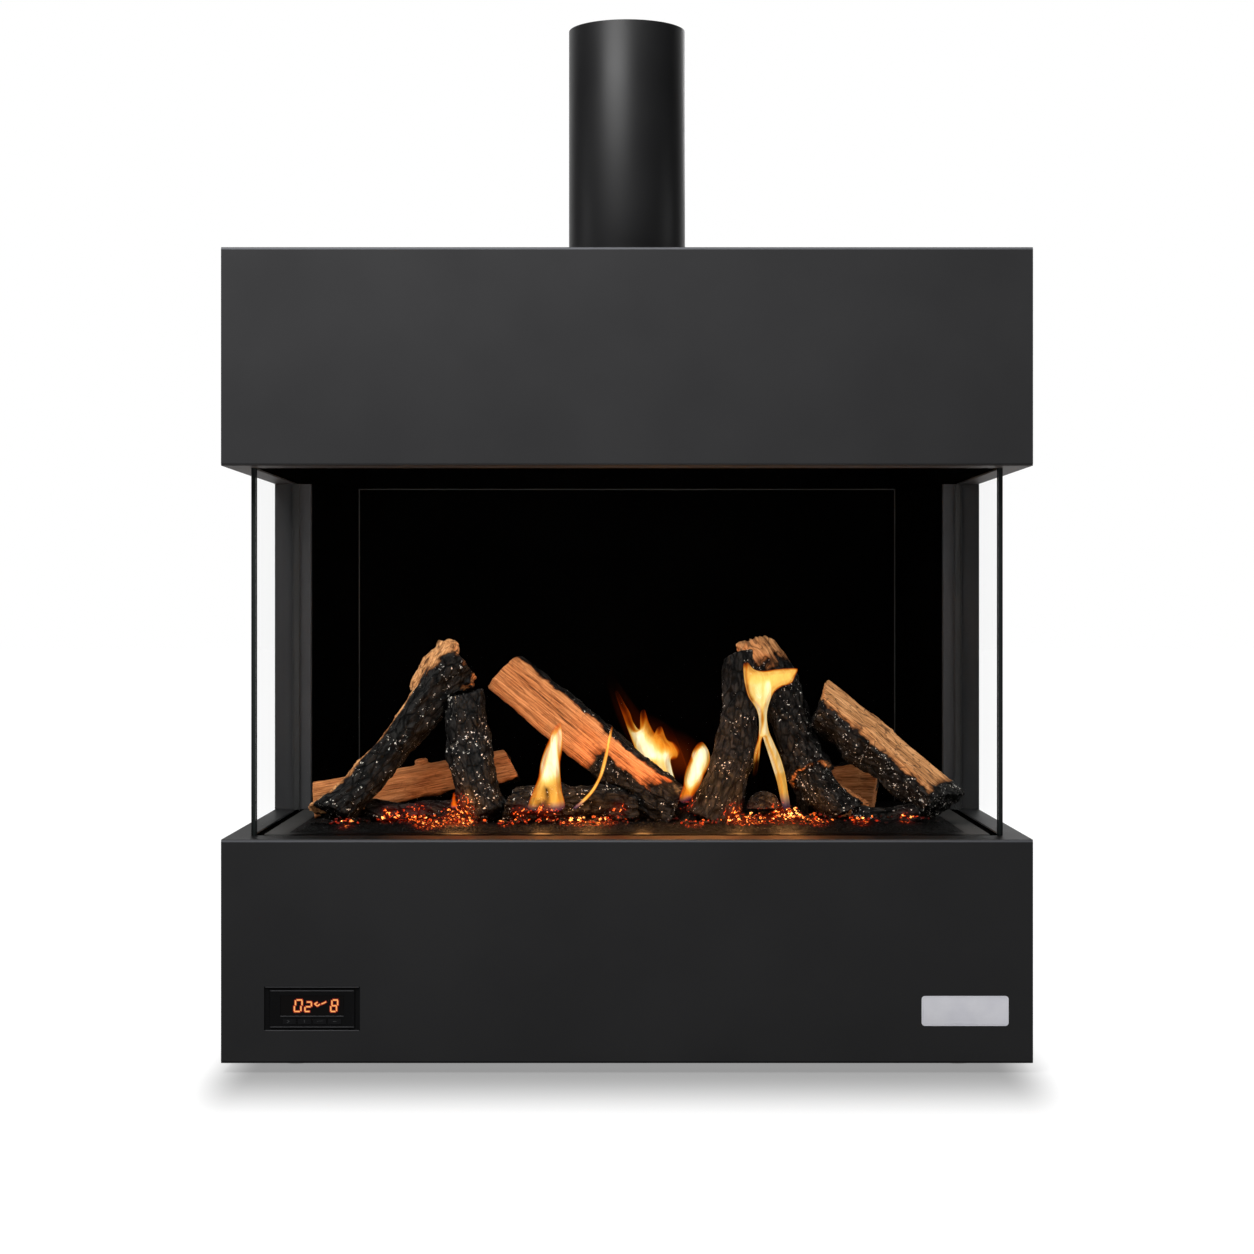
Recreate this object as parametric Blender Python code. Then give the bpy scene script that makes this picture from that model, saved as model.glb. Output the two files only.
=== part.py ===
"""A free-standing gas fire with glass on three sides.

A folded steel base and hood are joined by a narrow rear casing. Glass closes the front and both sides
between them, and a set of ceramic logs lies on an ember bed over a pan burner. A balanced flue leaves
the hood. Metres, +Z up, +Y towards the back. The origin is on the floor, in the middle of the footprint.
"""

import math

import bmesh
import bpy
from mathutils import Matrix, Vector, noise

# Casing
casing_width = 0.965
casing_depth = 0.610
foot_height = 0.012
base_height = 0.266
glass_opening = 0.4445
hood_height = 0.260
sheet = 0.002
bend_radius = 0.003
bend_steps = 2
front_border = 0.055
side_border = 0.027
return_flange = 0.020
hood_lip = 0.015
back_tray_depth = 0.015
seat_gap = 0.0003
overrun = 0.010

# Rear casing and fire chamber
wing_setback_share = 0.73934
wing_face = 0.0511
wing_return = 0.012
liner_sheet = 0.003
liner_back_width = 0.760
duct_depth = 0.015
ceiling_rise = 0.060
rim_inset = 0.027

# Glass
pane = 0.005
pane_gap = 0.001
slot_width = 0.0145
lower_engagement = 0.009
upper_engagement = 0.012
lift_travel = 0.012
pane_play = 0.0006
seal_depth = 0.006
seal_width = 0.012
channel_wall = 0.002
channel_shelf = 0.010

# Burner tray, burner and ember bed
pan_depth = 0.032
pan_taper = 0.020
burner_width = 0.520
burner_depth = 0.200
burner_place_share = 0.40
burner_height = 0.018
burner_sheet = 0.0015
port_length = 0.014
port_width = 0.0025
port_columns = 12
port_row_pitch = 0.110
spigot_radius = 0.017
spigot_drop = 0.014
spigot_offset = 0.200
bed_swell = 0.007
bed_columns = 28
bed_rows = 12
bed_lean_share = 0.12
bed_mound_share = 0.62
bed_lump_share = 0.34
bed_lump_columns = 26
bed_lump_rows = 11

# Mixing tube, air shutter and pilot
tube_wall = 0.0015
mixing_drop = 0.056
mixing_length = 0.240
mixing_bend = 0.030
shutter_length = 0.036
shutter_wall = 0.0012
shutter_play = 0.0004
shutter_setback = 0.012
air_window = 0.016
pilot_width = 0.030
pilot_post = 0.052
pilot_sheet = 0.002
pilot_tube_radius = 0.004
pilot_setback = 0.130

# Flue
flue_radius = 0.075
flue_inner_radius = 0.050
flue_wall = 0.001
flue_rise = 0.3155
flue_setback = 0.270
collar_flange = 0.020
collar_height = 0.025
collar_plate = 0.002
spacer_height = 0.012
spacer_leg = 0.003
spacer_drop = 0.060
round_steps = 36

# Pressure relief flaps
flap_width = 0.130
flap_length = 0.090
flap_sheet = 0.0015
flap_overlap = 0.008
flap_inset = 0.2325
flap_rod_radius = 0.002
flap_rod_play = 0.0004
flap_ear_sheet = 0.002
flap_ear_height = 0.008

# Display
display_width = 0.114
display_height = 0.053
display_inset = 0.1082
display_rise = 0.0651
bezel_recess = 0.0025
bezel_depth = 0.012
bezel_lip = 0.005
bezel_lip_sheet = 0.0015
module_width = 0.1015
module_height = 0.0442
module_depth = 0.034
module_recess = 0.0005
module_round = 0.001
screen_width = 0.075
screen_height = 0.0233
screen_thickness = 0.0015
screen_rise = 0.0036
screen_recess = 0.0004
key_count = 4
key_width = 0.0160
key_height = 0.0066
key_thickness = 0.003
key_pitch = 0.0180
key_drop = 0.0151
key_proud = 0.0004
key_travel = 0.001
key_play = 0.0003

# Plate on the base
plate_width = 0.1034
plate_height = 0.0356
plate_thickness = 0.0012
plate_round = 0.004
plate_inset = 0.0807
plate_rise = 0.0625

# Gas train in the base
gas_inset = 0.1525
inlet_play = 0.001
gas_height = 0.100
cock_length = 0.070
cock_radius = 0.015
cock_bore = 0.006
inlet_radius = 0.0105
cock_stem_radius = 0.006
cock_stem_height = 0.012
lever_length = 0.060
lever_width = 0.012
lever_sheet = 0.003
pipe_radius = 0.005
pipe_bore = 0.0035
pipe_bend = 0.018
pipe_drop_share = 1.5
cock_collar_share = 0.2
cock_body_share = 0.75
valve_width = 0.120
valve_depth = 0.056
valve_height = 0.078
valve_chamfer = 0.008
valve_inset = 0.2825
valve_port_height = 0.046
knob_radius = 0.015
knob_height = 0.014
knob_skirt = 0.003
knob_offset = 0.030
knob_rise = 0.050
knob_ribs = 12
knob_rib_depth = 0.0012
receiver_width = 0.150
receiver_depth = 0.090
receiver_height = 0.036
receiver_round = 0.003
receiver_setback = 0.150

# Levelling feet
foot_radius = 0.020
foot_neck_radius = 0.010
foot_pad_height = 0.005
stud_radius = 0.004
stud_height = 0.034
stud_play = 0.0006
nut_radius = 0.0075
nut_height = 0.006
foot_setback = 0.085
foot_inset = 0.080

# Logs
log_size = 0.060
log_sides = 14
log_rings = 11
log_clearance = 0.0005
sharpest_share = 3.0
ridge_count = 9
ridge_share = 0.05
ridge_sway_share = 2.0
ridge_wave_count = 5
bark_lump_share = 0.26
bark_lump_round_share = 1.4
bark_lump_count = 4
grain_share = 0.03
grain_round_count = 6
grain_along_count = 2
slant_count = 3
wood_logs = ("log_left_back", "log_right_back", "log_centre_split")

# Each log: both ends of its middle line, as shares of the bed's half width, of the bed's depth and of
# the glass opening over the deck; its size at its foot, waist and head as shares of the log size; the
# way its first split face looks, as a share of a turn that starts at the log's right side, or at the
# lower side of one that lies flat, with a quarter at its front; its split faces as (turn from the first,
# distance from the middle); how far its middle line bends sideways at a third and at two thirds of its
# length; and how far each end slants.
log_shares = {
    "log_left_bed": (
        (-0.80, 0.25, 0.035), (-0.50, 0.25, 0.036), (0.54, 0.57, 0.60),
        0.0, (), (0.09, 0.09), (0.5, 0.4),
    ),
    "log_centre_bed": (
        (-0.355, 0.17, 0.058), (0.010, 0.20, 0.056), (0.86, 0.81, 0.76),
        0.0, (), (0.10, 0.10), (0.5, 0.5),
    ),
    "log_right_bed": (
        (0.685, 0.20, 0.030), (0.880, 0.21, 0.030), (0.50, 0.51, 0.52),
        0.0, (), (0.09, 0.09), (0.3, 0.4),
    ),
    "log_left_back": (
        (-0.985, 0.43, 0.052), (-0.362, 0.43, 0.160), (1.04, 0.95, 0.86),
        0.27, ((0.0, 0.74), (0.25, 0.78)), (0.04, 0.04), (0.1, 0.3),
    ),
    "log_right_back": (
        (0.55, 0.47, 0.080), (0.792, 0.47, 0.078), (1.34, 1.32, 1.30),
        0.27, ((0.0, 0.72), (0.24, 0.82)), (0.02, 0.02), (0.2, 0.2),
    ),
    "log_left_prop": (
        (-0.398, 0.178, 0.020), (-0.512, 0.285, 0.375), (0.82, 1.00, 0.86),
        0.0, (), (-0.38, -0.30), (0.35, 0.4),
    ),
    "log_left_leaning": (
        (-0.905, 0.173, 0.038), (-0.524, 0.300, 0.470), (0.98, 0.76, 1.30),
        0.55, ((0.0, 0.84),), (0.30, 0.16), (0.4, 0.1),
    ),
    "log_centre_split": (
        (0.150, 0.190, 0.052), (-0.376, 0.330, 0.432), (1.00, 1.16, 1.10),
        0.26, ((0.0, 0.62), (0.23, 0.92), (-0.24, 0.90)), (-0.12, -0.06), (0.3, 0.15),
    ),
    "log_right_crossed": (
        (0.674, 0.205, 0.040), (0.412, 0.440, 0.485), (0.86, 0.88, 0.96),
        0.04, ((0.0, 0.84),), (-0.54, -0.02), (0.4, 0.3),
    ),
    "log_right_upright": (
        (0.252, 0.180, 0.012), (0.345, 0.285, 0.484), (1.12, 0.88, 0.60),
        0.0, (), (0.44, 0.42), (0.3, 0.5),
    ),
    "log_far_right": (
        (0.975, 0.225, 0.066), (0.604, 0.335, 0.352), (1.22, 1.22, 1.26),
        0.08, ((0.0, 0.48),), (0.0, 0.03), (0.3, 0.35),
    ),
}

# Heights of the main levels
floor_top = foot_height + sheet + seat_gap + sheet
deck = foot_height + base_height
mixing_level = deck - pan_depth - mixing_drop
soffit = deck + glass_opening
crown = soffit + hood_height

# Planes in plan
front = -casing_depth / 2
back = casing_depth / 2
wall = casing_width / 2
wing_plane = front + casing_depth * wing_setback_share
inner_wall = wall - sheet
tray_front = front + front_border + slot_width
tray_wall = wall - side_border - slot_width
back_tray_front = back - back_tray_depth
liner_back = back - sheet - duct_depth
glass_front_plane = front + front_border + pane_gap
glass_side_plane = wall - side_border - pane_gap
bed_front = tray_front + rim_inset
bed_wall = tray_wall - rim_inset
bed_back = liner_back - liner_sheet - seat_gap - pan_taper / 2
flue_y = front + flue_setback
flap_x = wall - flap_inset
display_x = -wall + display_inset
display_z = foot_height + display_rise
plate_x = wall - plate_inset
plate_z = foot_height + plate_rise
gas_x = wall - gas_inset


def finish(name, colour, roughness, metallic=0.0):
    """A material with a plain colour (red, green, blue), roughness and metal value."""
    material = bpy.data.materials.new(name)
    material.use_nodes = True
    shader = material.node_tree.nodes["Principled BSDF"]
    shader.inputs["Base Color"].default_value = (*colour, 1.0)
    shader.inputs["Roughness"].default_value = roughness
    shader.inputs["Metallic"].default_value = metallic
    return material


def add_object(name, bm, material, origin=(0.0, 0.0, 0.0), smooth=False):
    """Makes an object of the shape, which is drawn in world places, with its own origin."""
    bmesh.ops.recalc_face_normals(bm, faces=bm.faces)
    bmesh.ops.translate(bm, verts=bm.verts, vec=-Vector(origin))
    mesh = bpy.data.meshes.new(name)
    bm.to_mesh(mesh)
    bm.free()
    obj = bpy.data.objects.new(name, mesh)
    obj.location = origin
    bpy.context.scene.collection.objects.link(obj)
    if material:
        mesh.materials.append(material)
    if smooth:
        mesh.shade_smooth()
        mesh.set_sharp_from_angle(angle=math.radians(35))
    return obj


def block(low, high):
    """A box between two corners."""
    bm = bmesh.new()
    bmesh.ops.create_cube(bm, size=1.0)
    size = [b - a for a, b in zip(low, high)]
    middle = [(a + b) / 2 for a, b in zip(low, high)]
    bmesh.ops.scale(bm, verts=bm.verts, vec=size)
    bmesh.ops.translate(bm, verts=bm.verts, vec=middle)
    return bm


def merge(*shapes):
    """Several shapes that don't touch, as one cutter."""
    whole = bmesh.new()
    for shape in shapes:
        mesh = bpy.data.meshes.new("merged")
        shape.to_mesh(mesh)
        shape.free()
        whole.from_mesh(mesh)
        bpy.data.meshes.remove(mesh)
    return whole


def prism(outline, low, high):
    """An outline of (x, y) points drawn up from one height to another."""
    bm = bmesh.new()
    face = bm.faces.new([bm.verts.new((x, y, low)) for x, y in outline])
    drawn = bmesh.ops.extrude_face_region(bm, geom=[face])
    top = [part for part in drawn["geom"] if isinstance(part, bmesh.types.BMVert)]
    bmesh.ops.translate(bm, verts=top, vec=(0.0, 0.0, high - low))
    return bm


def rounded_outline(width, height, radius, steps=4):
    """A rectangle about the origin with round corners."""
    points = []
    for quarter in range(4):
        turn = quarter * math.pi / 2
        side = (quarter + 1) // 2 % 2
        x = (width / 2 - radius) * (-1 if side else 1)
        y = (height / 2 - radius) * (-1 if quarter > 1 else 1)
        for step in range(steps + 1):
            angle = turn + step / steps * math.pi / 2
            points.append((x + radius * math.cos(angle), y + radius * math.sin(angle)))
    return points


def turned(profile, steps=round_steps, closed=False):
    """A profile of (radius, height) points turned about Z. A closed profile makes a ring."""
    bm = bmesh.new()
    rings = []
    for radius, height in profile:
        if radius == 0:
            rings.append([bm.verts.new((0.0, 0.0, height))])
            continue
        angles = [math.tau * step / steps for step in range(steps)]
        rings.append([bm.verts.new((radius * math.cos(a), radius * math.sin(a), height)) for a in angles])
    pairs = list(zip(rings, rings[1:]))
    if closed:
        pairs.append((rings[-1], rings[0]))
    for lower, upper in pairs:
        for step in range(steps):
            after = (step + 1) % steps
            if len(lower) == 1:
                bm.faces.new((lower[0], upper[step], upper[after]))
            elif len(upper) == 1:
                bm.faces.new((lower[step], lower[after], upper[0]))
            else:
                bm.faces.new((lower[step], lower[after], upper[after], upper[step]))
    if not closed:
        for ring in (rings[0], rings[-1]):
            if len(ring) > 1:
                bm.faces.new(ring)
    return bm


def ring(inner, outer, low, high, steps=round_steps):
    """A plain tube standing on Z."""
    return turned([(outer, low), (outer, high), (inner, high), (inner, low)], steps, closed=True)


def placed(bm, place, turn=None):
    """Turns the shape with a matrix, then moves it to its place."""
    if turn is not None:
        bmesh.ops.transform(bm, matrix=turn, verts=bm.verts)
    bmesh.ops.translate(bm, verts=bm.verts, vec=place)
    return bm


def along_y():
    """Turns +Z into +Y."""
    return Matrix.Rotation(-math.pi / 2, 4, "X")


def along_x():
    """Turns +Z into +X."""
    return Matrix.Rotation(math.pi / 2, 4, "Y")


def swept(route, outer, inner, sides=8):
    """A tube along a route. A solid rod has an inner radius of zero."""
    bm = bmesh.new()
    points = [Vector(point) for point in route]
    side = None
    shells = [[] for _ in range(2 if inner else 1)]
    for index, point in enumerate(points):
        before = points[max(index - 1, 0)]
        after = points[min(index + 1, len(points) - 1)]
        forward = (after - before).normalized()
        if side is None:
            side = forward.orthogonal().normalized()
        side = (side - forward * side.dot(forward)).normalized()
        across = forward.cross(side)
        for shell, radius in zip(shells, (outer, inner)):
            loop = []
            for step in range(sides):
                angle = math.tau * step / sides
                out = side * math.cos(angle) + across * math.sin(angle)
                loop.append(bm.verts.new(point + radius * out))
            shell.append(loop)
    for shell in shells:
        for first, second in zip(shell, shell[1:]):
            for step in range(sides):
                last = (step + 1) % sides
                bm.faces.new((first[step], first[last], second[last], second[step]))
    for end in (0, -1):
        if not inner:
            bm.faces.new(shells[0][end])
            continue
        for step in range(sides):
            last = (step + 1) % sides
            rim, bore = shells[0][end], shells[1][end]
            bm.faces.new((rim[step], rim[last], bore[last], bore[step]))
    return bm


def bent(corners, radius, steps=3):
    """A route through the corners, with each inner corner rounded."""
    corners = [Vector(corner) for corner in corners]
    route = [corners[0]]
    for before, corner, after in zip(corners, corners[1:], corners[2:]):
        start = corner + (before - corner).normalized() * radius
        end = corner + (after - corner).normalized() * radius
        for step in range(steps + 1):
            share = step / steps
            route.append(start.lerp(corner, share).lerp(corner.lerp(end, share), share))
    route.append(corners[-1])
    return route


def round_edges(bm, radius, steps, wanted):
    """Rounds the edges whose two ends both pass the test."""
    edges = [edge for edge in bm.edges if wanted(edge.verts[0].co, edge.verts[1].co)]
    bmesh.ops.bevel(bm, geom=edges, offset=radius, segments=steps, profile=0.5, affect="EDGES")
    return bm


def hidden(bm, name):
    """A cutter: left out of the render, and drawn as wire."""
    cutter = add_object(name, bm, None)
    cutter.hide_render = True
    cutter.display_type = "WIRE"
    return cutter


def change(obj, bm, operation):
    """Adds a Boolean with the shape to the object."""
    name = f"{obj.name}_{operation.lower()}_{len(obj.modifiers)}"
    modifier = obj.modifiers.new(name, "BOOLEAN")
    modifier.operation = operation
    modifier.solver = "EXACT"
    modifier.object = hidden(bm, name)


def cut(obj, *shapes):
    """Cuts the shapes out of the object, one after another."""
    for shape in shapes:
        change(obj, shape, "DIFFERENCE")


def join(obj, *shapes):
    """Joins the shapes to the object, each of which overlaps it."""
    for shape in shapes:
        change(obj, shape, "UNION")


painted = finish("dark_grey_paint", (0.045, 0.045, 0.048), 0.55)
black = finish("black_enamel", (0.006, 0.006, 0.006), 0.6)
galvanised = finish("galvanised_steel", (0.55, 0.56, 0.57), 0.4, 1.0)
stainless = finish("stainless_steel", (0.5, 0.5, 0.5), 0.35, 1.0)
brass = finish("brass", (0.72, 0.52, 0.24), 0.3, 1.0)
die_cast = finish("die_cast_alloy", (0.6, 0.6, 0.62), 0.45, 1.0)
ceramic_glass = finish("ceramic_glass", (0.75, 0.8, 0.78), 0.05)
seal_rope = finish("seal_rope", (0.05, 0.05, 0.05), 0.9)
charred = finish("charred_ceramic_fibre", (0.02, 0.018, 0.016), 0.85)
split_wood = finish("split_wood_ceramic", (0.35, 0.21, 0.11), 0.8)
embers = finish("ember_bed", (0.03, 0.02, 0.015), 0.9)
black_plastic = finish("black_plastic", (0.012, 0.012, 0.013), 0.4)
screen_glass = finish("screen_window", (0.01, 0.008, 0.008), 0.1)
silver = finish("silver_plate", (0.55, 0.55, 0.6), 0.35, 0.8)
zinc = finish("zinc_plated_steel", (0.5, 0.5, 0.52), 0.4, 1.0)


def folded_casing(name, low, high, flange_low, flange_high, open_high):
    """A front and two sides folded from one sheet, with flanges turned in at the foot and the top.

    A flange is its width at the front and at the sides. At the back the flange of the fire chamber's
    side stops short of the rear panel, whose own edges fold into the casing.
    """
    bm = block((-wall, front, low), (wall, back, high))
    round_edges(bm, bend_radius, bend_steps, lambda a, b: a.y < 0 and b.y < 0 and a.z == b.z)
    obj = add_object(name, bm, painted)
    cut(obj, block((-inner_wall, front + sheet, low + sheet), (inner_wall, back + overrun, high - sheet)))
    for (deep, aside), below, above in (
        (flange_low, low - overrun, low + sheet + overrun),
        (flange_high, high - sheet - overrun, high + overrun),
    ):
        cut(obj, block((-wall + aside, front + deep, below), (wall - aside, back + overrun, above)))
    near = back_tray_front - seat_gap
    span = (low + sheet, high + overrun) if open_high else (low - overrun, high - sheet)
    cut(obj, block((-inner_wall, near, span[0]), (inner_wall, back + overrun, span[1])))
    return obj


def facing_front(outline, near, deep, x, z):
    """An outline of (x, z) points drawn back from one plane in Y to another."""
    bm = prism(outline, 0.0, deep - near)
    bmesh.ops.transform(bm, matrix=Matrix.Rotation(math.pi / 2, 4, "X"), verts=bm.verts)
    bmesh.ops.translate(bm, verts=bm.verts, vec=(x, deep, z))
    return bm


def base_casing():
    """The lower casing, with its cut-out for the display and its shallow seat for the plate."""
    flange_low = (return_flange, return_flange)
    obj = folded_casing("base_casing", foot_height, deck, flange_low, (front_border, side_border), True)
    opening = rounded_outline(display_width, display_height, module_round)
    cut(obj, facing_front(opening, front - overrun, front + overrun, display_x, display_z))
    width = plate_width + 2 * seat_gap
    height = plate_height + 2 * seat_gap
    seat = rounded_outline(width, height, plate_round)
    cut(obj, facing_front(seat, front - overrun, front + plate_thickness + seat_gap, plate_x, plate_z))
    return obj


def hood_casing():
    """The upper casing, whose lower flange frames the glass."""
    flange_low = (front_border, side_border)
    return folded_casing("hood_casing", soffit, crown, flange_low, (hood_lip, hood_lip), False)


def back_panel():
    """One tray-shaped sheet behind the whole fire, its edges folded forwards inside the casings."""
    side = inner_wall - seat_gap
    low = foot_height + sheet + seat_gap
    high = crown - sheet - seat_gap
    bm = block((-side, back_tray_front, low), (side, back, high))
    round_edges(bm, bend_radius, bend_steps, lambda a, b: a.y > back - sheet and b.y > back - sheet)
    obj = add_object("back_panel", bm, painted)
    inner_low = (-side + sheet, back_tray_front - overrun, low + sheet)
    cut(obj, block(inner_low, (side - sheet, back - sheet, high - sheet)))
    hole = inlet_radius + inlet_play
    bore = turned([(hole, 0.0), (hole, 2 * overrun)], 20)
    cut(obj, placed(bore, (gas_x, back - overrun, gas_height), along_y()))
    return obj


def base_floor():
    """The floor sheet, lying on the lower flanges, with holes for the studs of the feet."""
    side = inner_wall - seat_gap
    low = foot_height + sheet + seat_gap
    bm = block((-side, front + sheet + seat_gap, low), (side, back_tray_front - seat_gap, floor_top))
    obj = add_object("base_floor", bm, galvanised)
    holes = []
    radius = stud_radius + stud_play
    for x, y in foot_places():
        hole = turned([(radius, low - overrun), (radius, floor_top + overrun)], 16)
        holes.append(placed(hole, (x, y, 0.0)))
    cut(obj, merge(*holes))
    return obj


def hood_top():
    """The top sheet, under the hood's upper flanges, with its hole for the flue."""
    side = inner_wall - seat_gap
    high = crown - sheet - seat_gap
    bm = block((-side, front + sheet + seat_gap, high - sheet), (side, back_tray_front - seat_gap, high))
    obj = add_object("hood_top", bm, painted)
    hole = flue_radius - flue_wall - collar_plate
    cut(obj, placed(turned([(hole, high - overrun), (hole, high + overrun)]), (0.0, flue_y, 0.0)))
    return obj


def wing(name, side):
    """A rear side sheet folded round into the narrow face beside the fire chamber."""
    inner = wall - wing_face
    low = deck + seat_gap
    high = soffit - seat_gap
    outline = [
        (wall, back),
        (wall, wing_plane),
        (inner, wing_plane),
        (inner, wing_plane + wing_return),
        (inner + sheet, wing_plane + wing_return),
        (inner + sheet, wing_plane + sheet),
        (inner_wall, wing_plane + sheet),
        (inner_wall, back),
    ]
    bm = prism([(side * x, y) for x, y in outline], low, high)

    def outer_fold(a, b):
        return a.y == b.y and a.y < wing_plane + sheet / 2 and a.x == b.x

    round_edges(bm, sheet / 2, bend_steps, outer_fold)
    return add_object(name, bm, painted)


def chamber_outline(inset=0.0):
    """The plan of the pan and of the recess over it: straight beside the glass, drawn in behind the wings."""
    side = bed_wall - inset
    turn = wing_plane - wing_return
    narrow = liner_back_width / 2 - pan_taper / 2 - inset
    return [
        (-side, bed_front + inset),
        (side, bed_front + inset),
        (side, turn),
        (narrow, bed_back - inset),
        (-narrow, bed_back - inset),
        (-side, turn),
    ]


def firebox_back():
    """The chamber's back sheet, between the tray and the ceiling."""
    half = liner_back_width / 2 - seat_gap
    low = (-half, liner_back - liner_sheet, deck + seat_gap)
    return add_object("firebox_back", block(low, (half, liner_back, soffit - seat_gap)), black)


def firebox_liner(name, side):
    """A splayed side sheet from the back edge of a wing to the back sheet."""
    near = Vector((wall - wing_face, wing_plane + wing_return + seat_gap))
    far = Vector((liner_back_width / 2, liner_back))
    along = (far - near).normalized()
    across = Vector((-along.y, along.x)) * liner_sheet
    if across.x < 0:
        across = -across
    outline = [near, far, far + across, near + across]
    bm = prism([(side * x, y) for x, y in outline], deck + seat_gap, soffit - seat_gap)
    return add_object(name, bm, black)


def tray_plate(low, high):
    """The rim sheet of the tray, and of the ceiling over it."""
    return block((-tray_wall, tray_front, low), (tray_wall, liner_back, high))


def burner_tray():
    """A pressed tray: a level rim inside the glass, and a pan that holds the burner and the embers."""
    obj = add_object("burner_tray", tray_plate(deck - sheet, deck), black)
    join(obj, prism(chamber_outline(-sheet), deck - pan_depth, deck - sheet / 2))
    cut(obj, prism(chamber_outline(), deck - pan_depth + sheet, deck + overrun))
    radius = spigot_radius + stud_play
    bottom = deck - pan_depth
    hole = turned([(radius, bottom - overrun), (radius, bottom + overrun)], 24)
    cut(obj, placed(hole, (-spigot_offset, burner_middle(), 0.0)))
    return obj


def firebox_ceiling():
    """The chamber's lid: a level rim, and a raised middle with the flue outlet and two relief openings."""
    top = soffit + ceiling_rise
    obj = add_object("firebox_ceiling", tray_plate(soffit, soffit + sheet), black)
    join(obj, prism(chamber_outline(-sheet), soffit + sheet / 2, top))
    cut(obj, prism(chamber_outline(), soffit - overrun, top - sheet))
    outlet = flue_inner_radius - 2 * flue_wall
    cut(obj, placed(turned([(outlet, top - overrun), (outlet, top + overrun)]), (0.0, flue_y, 0.0)))
    for x in (-flap_x, flap_x):
        half = flap_width / 2 - flap_overlap
        near = flue_y - flap_length / 2 + flap_overlap
        far = flue_y + flap_length / 2 - 2 * flap_overlap
        cut(obj, block((x - half, near, top - overrun), (x + half, far, top + overrun)))
        for edge in (-1, 1):
            join(obj, flap_ear(x + edge * (flap_width / 2 + flap_ear_sheet / 2 + seat_gap), top))
    return obj


def flap_rod_height():
    """The height of a relief flap's hinge rod."""
    return soffit + ceiling_rise + seat_gap + flap_rod_radius


def flap_hinge_y():
    """The hinge line of the relief flaps."""
    return flue_y + flap_length / 2


def flap_ear(x, top):
    """An upright ear with the hole for a flap's rod."""
    half = flap_ear_sheet / 2
    arm = flap_ear_height / 2
    y = flap_hinge_y()
    ear = block((x - half, y - arm, top - sheet / 2), (x + half, y + arm, top + flap_ear_height))
    hole = flap_rod_radius + flap_rod_play
    bore = turned([(hole, 0.0), (hole, 2 * overrun)], 12)
    bore = placed(bore, (x - overrun, y, flap_rod_height()), along_x())
    obj = add_object(f"ear_{x:.3f}", ear, None)
    change(obj, bore, "DIFFERENCE")
    return baked(obj)


def baked(obj):
    """Takes an object's finished shape with its Booleans done, and removes the object."""
    for modifier in obj.modifiers:
        modifier.object.hide_viewport = False
    bpy.context.view_layer.update()
    graph = bpy.context.evaluated_depsgraph_get()
    mesh = bpy.data.meshes.new_from_object(obj.evaluated_get(graph))
    mesh.transform(obj.matrix_world)
    bm = bmesh.new()
    bm.from_mesh(mesh)
    helpers = [modifier.object for modifier in obj.modifiers]
    for helper in [obj, *helpers]:
        bpy.data.objects.remove(helper)
    bpy.data.meshes.remove(mesh)
    return bm


def relief_flap(name, x):
    """A light lid over a relief opening, hung on a rod along its rear edge."""
    low = soffit + ceiling_rise + seat_gap
    y = flap_hinge_y()
    half = flap_width / 2 - flap_ear_sheet / 2
    bm = block((x - half, y - flap_length, low), (x + half, y, low + flap_sheet))
    origin = (x, y, flap_rod_height())
    obj = add_object(name, bm, galvanised, origin)
    reach = flap_width / 2 + flap_ear_sheet + 2 * seat_gap
    rod = turned([(flap_rod_radius, -reach), (flap_rod_radius, reach)], 12)
    join(obj, placed(rod, origin, along_x()))
    return obj


def glass_panes():
    """The front pane between the two side panes, all standing in the lower channel."""
    low = deck - lower_engagement
    high = soffit + upper_engagement
    half = glass_side_plane - pane - seat_gap
    plane = glass_front_plane
    add_object("glass_front", block((-half, plane, low), (half, plane + pane, high)), ceramic_glass)
    for name, side in (("glass_left", -1), ("glass_right", 1)):
        inner, outer = sorted((side * (glass_side_plane - pane), side * glass_side_plane))
        rear = wing_plane - seal_depth - 2 * seat_gap
        add_object(name, block((inner, plane, low), (outer, rear, high)), ceramic_glass)


def glass_seal(name, side):
    """A rope seal between the rear edge of a side pane and the wing's face."""
    middle = side * (glass_side_plane - pane / 2)
    half = seal_width / 2
    near = wing_plane - seal_depth - seat_gap
    outline = [(middle - half, near), (middle + half, near), (middle + half, wing_plane - seat_gap)]
    outline.append((middle - half, wing_plane - seat_gap))
    bm = prism(outline, deck + seat_gap, soffit - seat_gap)
    round_edges(bm, seal_depth / 3, bend_steps, lambda a, b: a.x == b.x and a.y == b.y)
    return add_object(name, bm, seal_rope, smooth=True)


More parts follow.
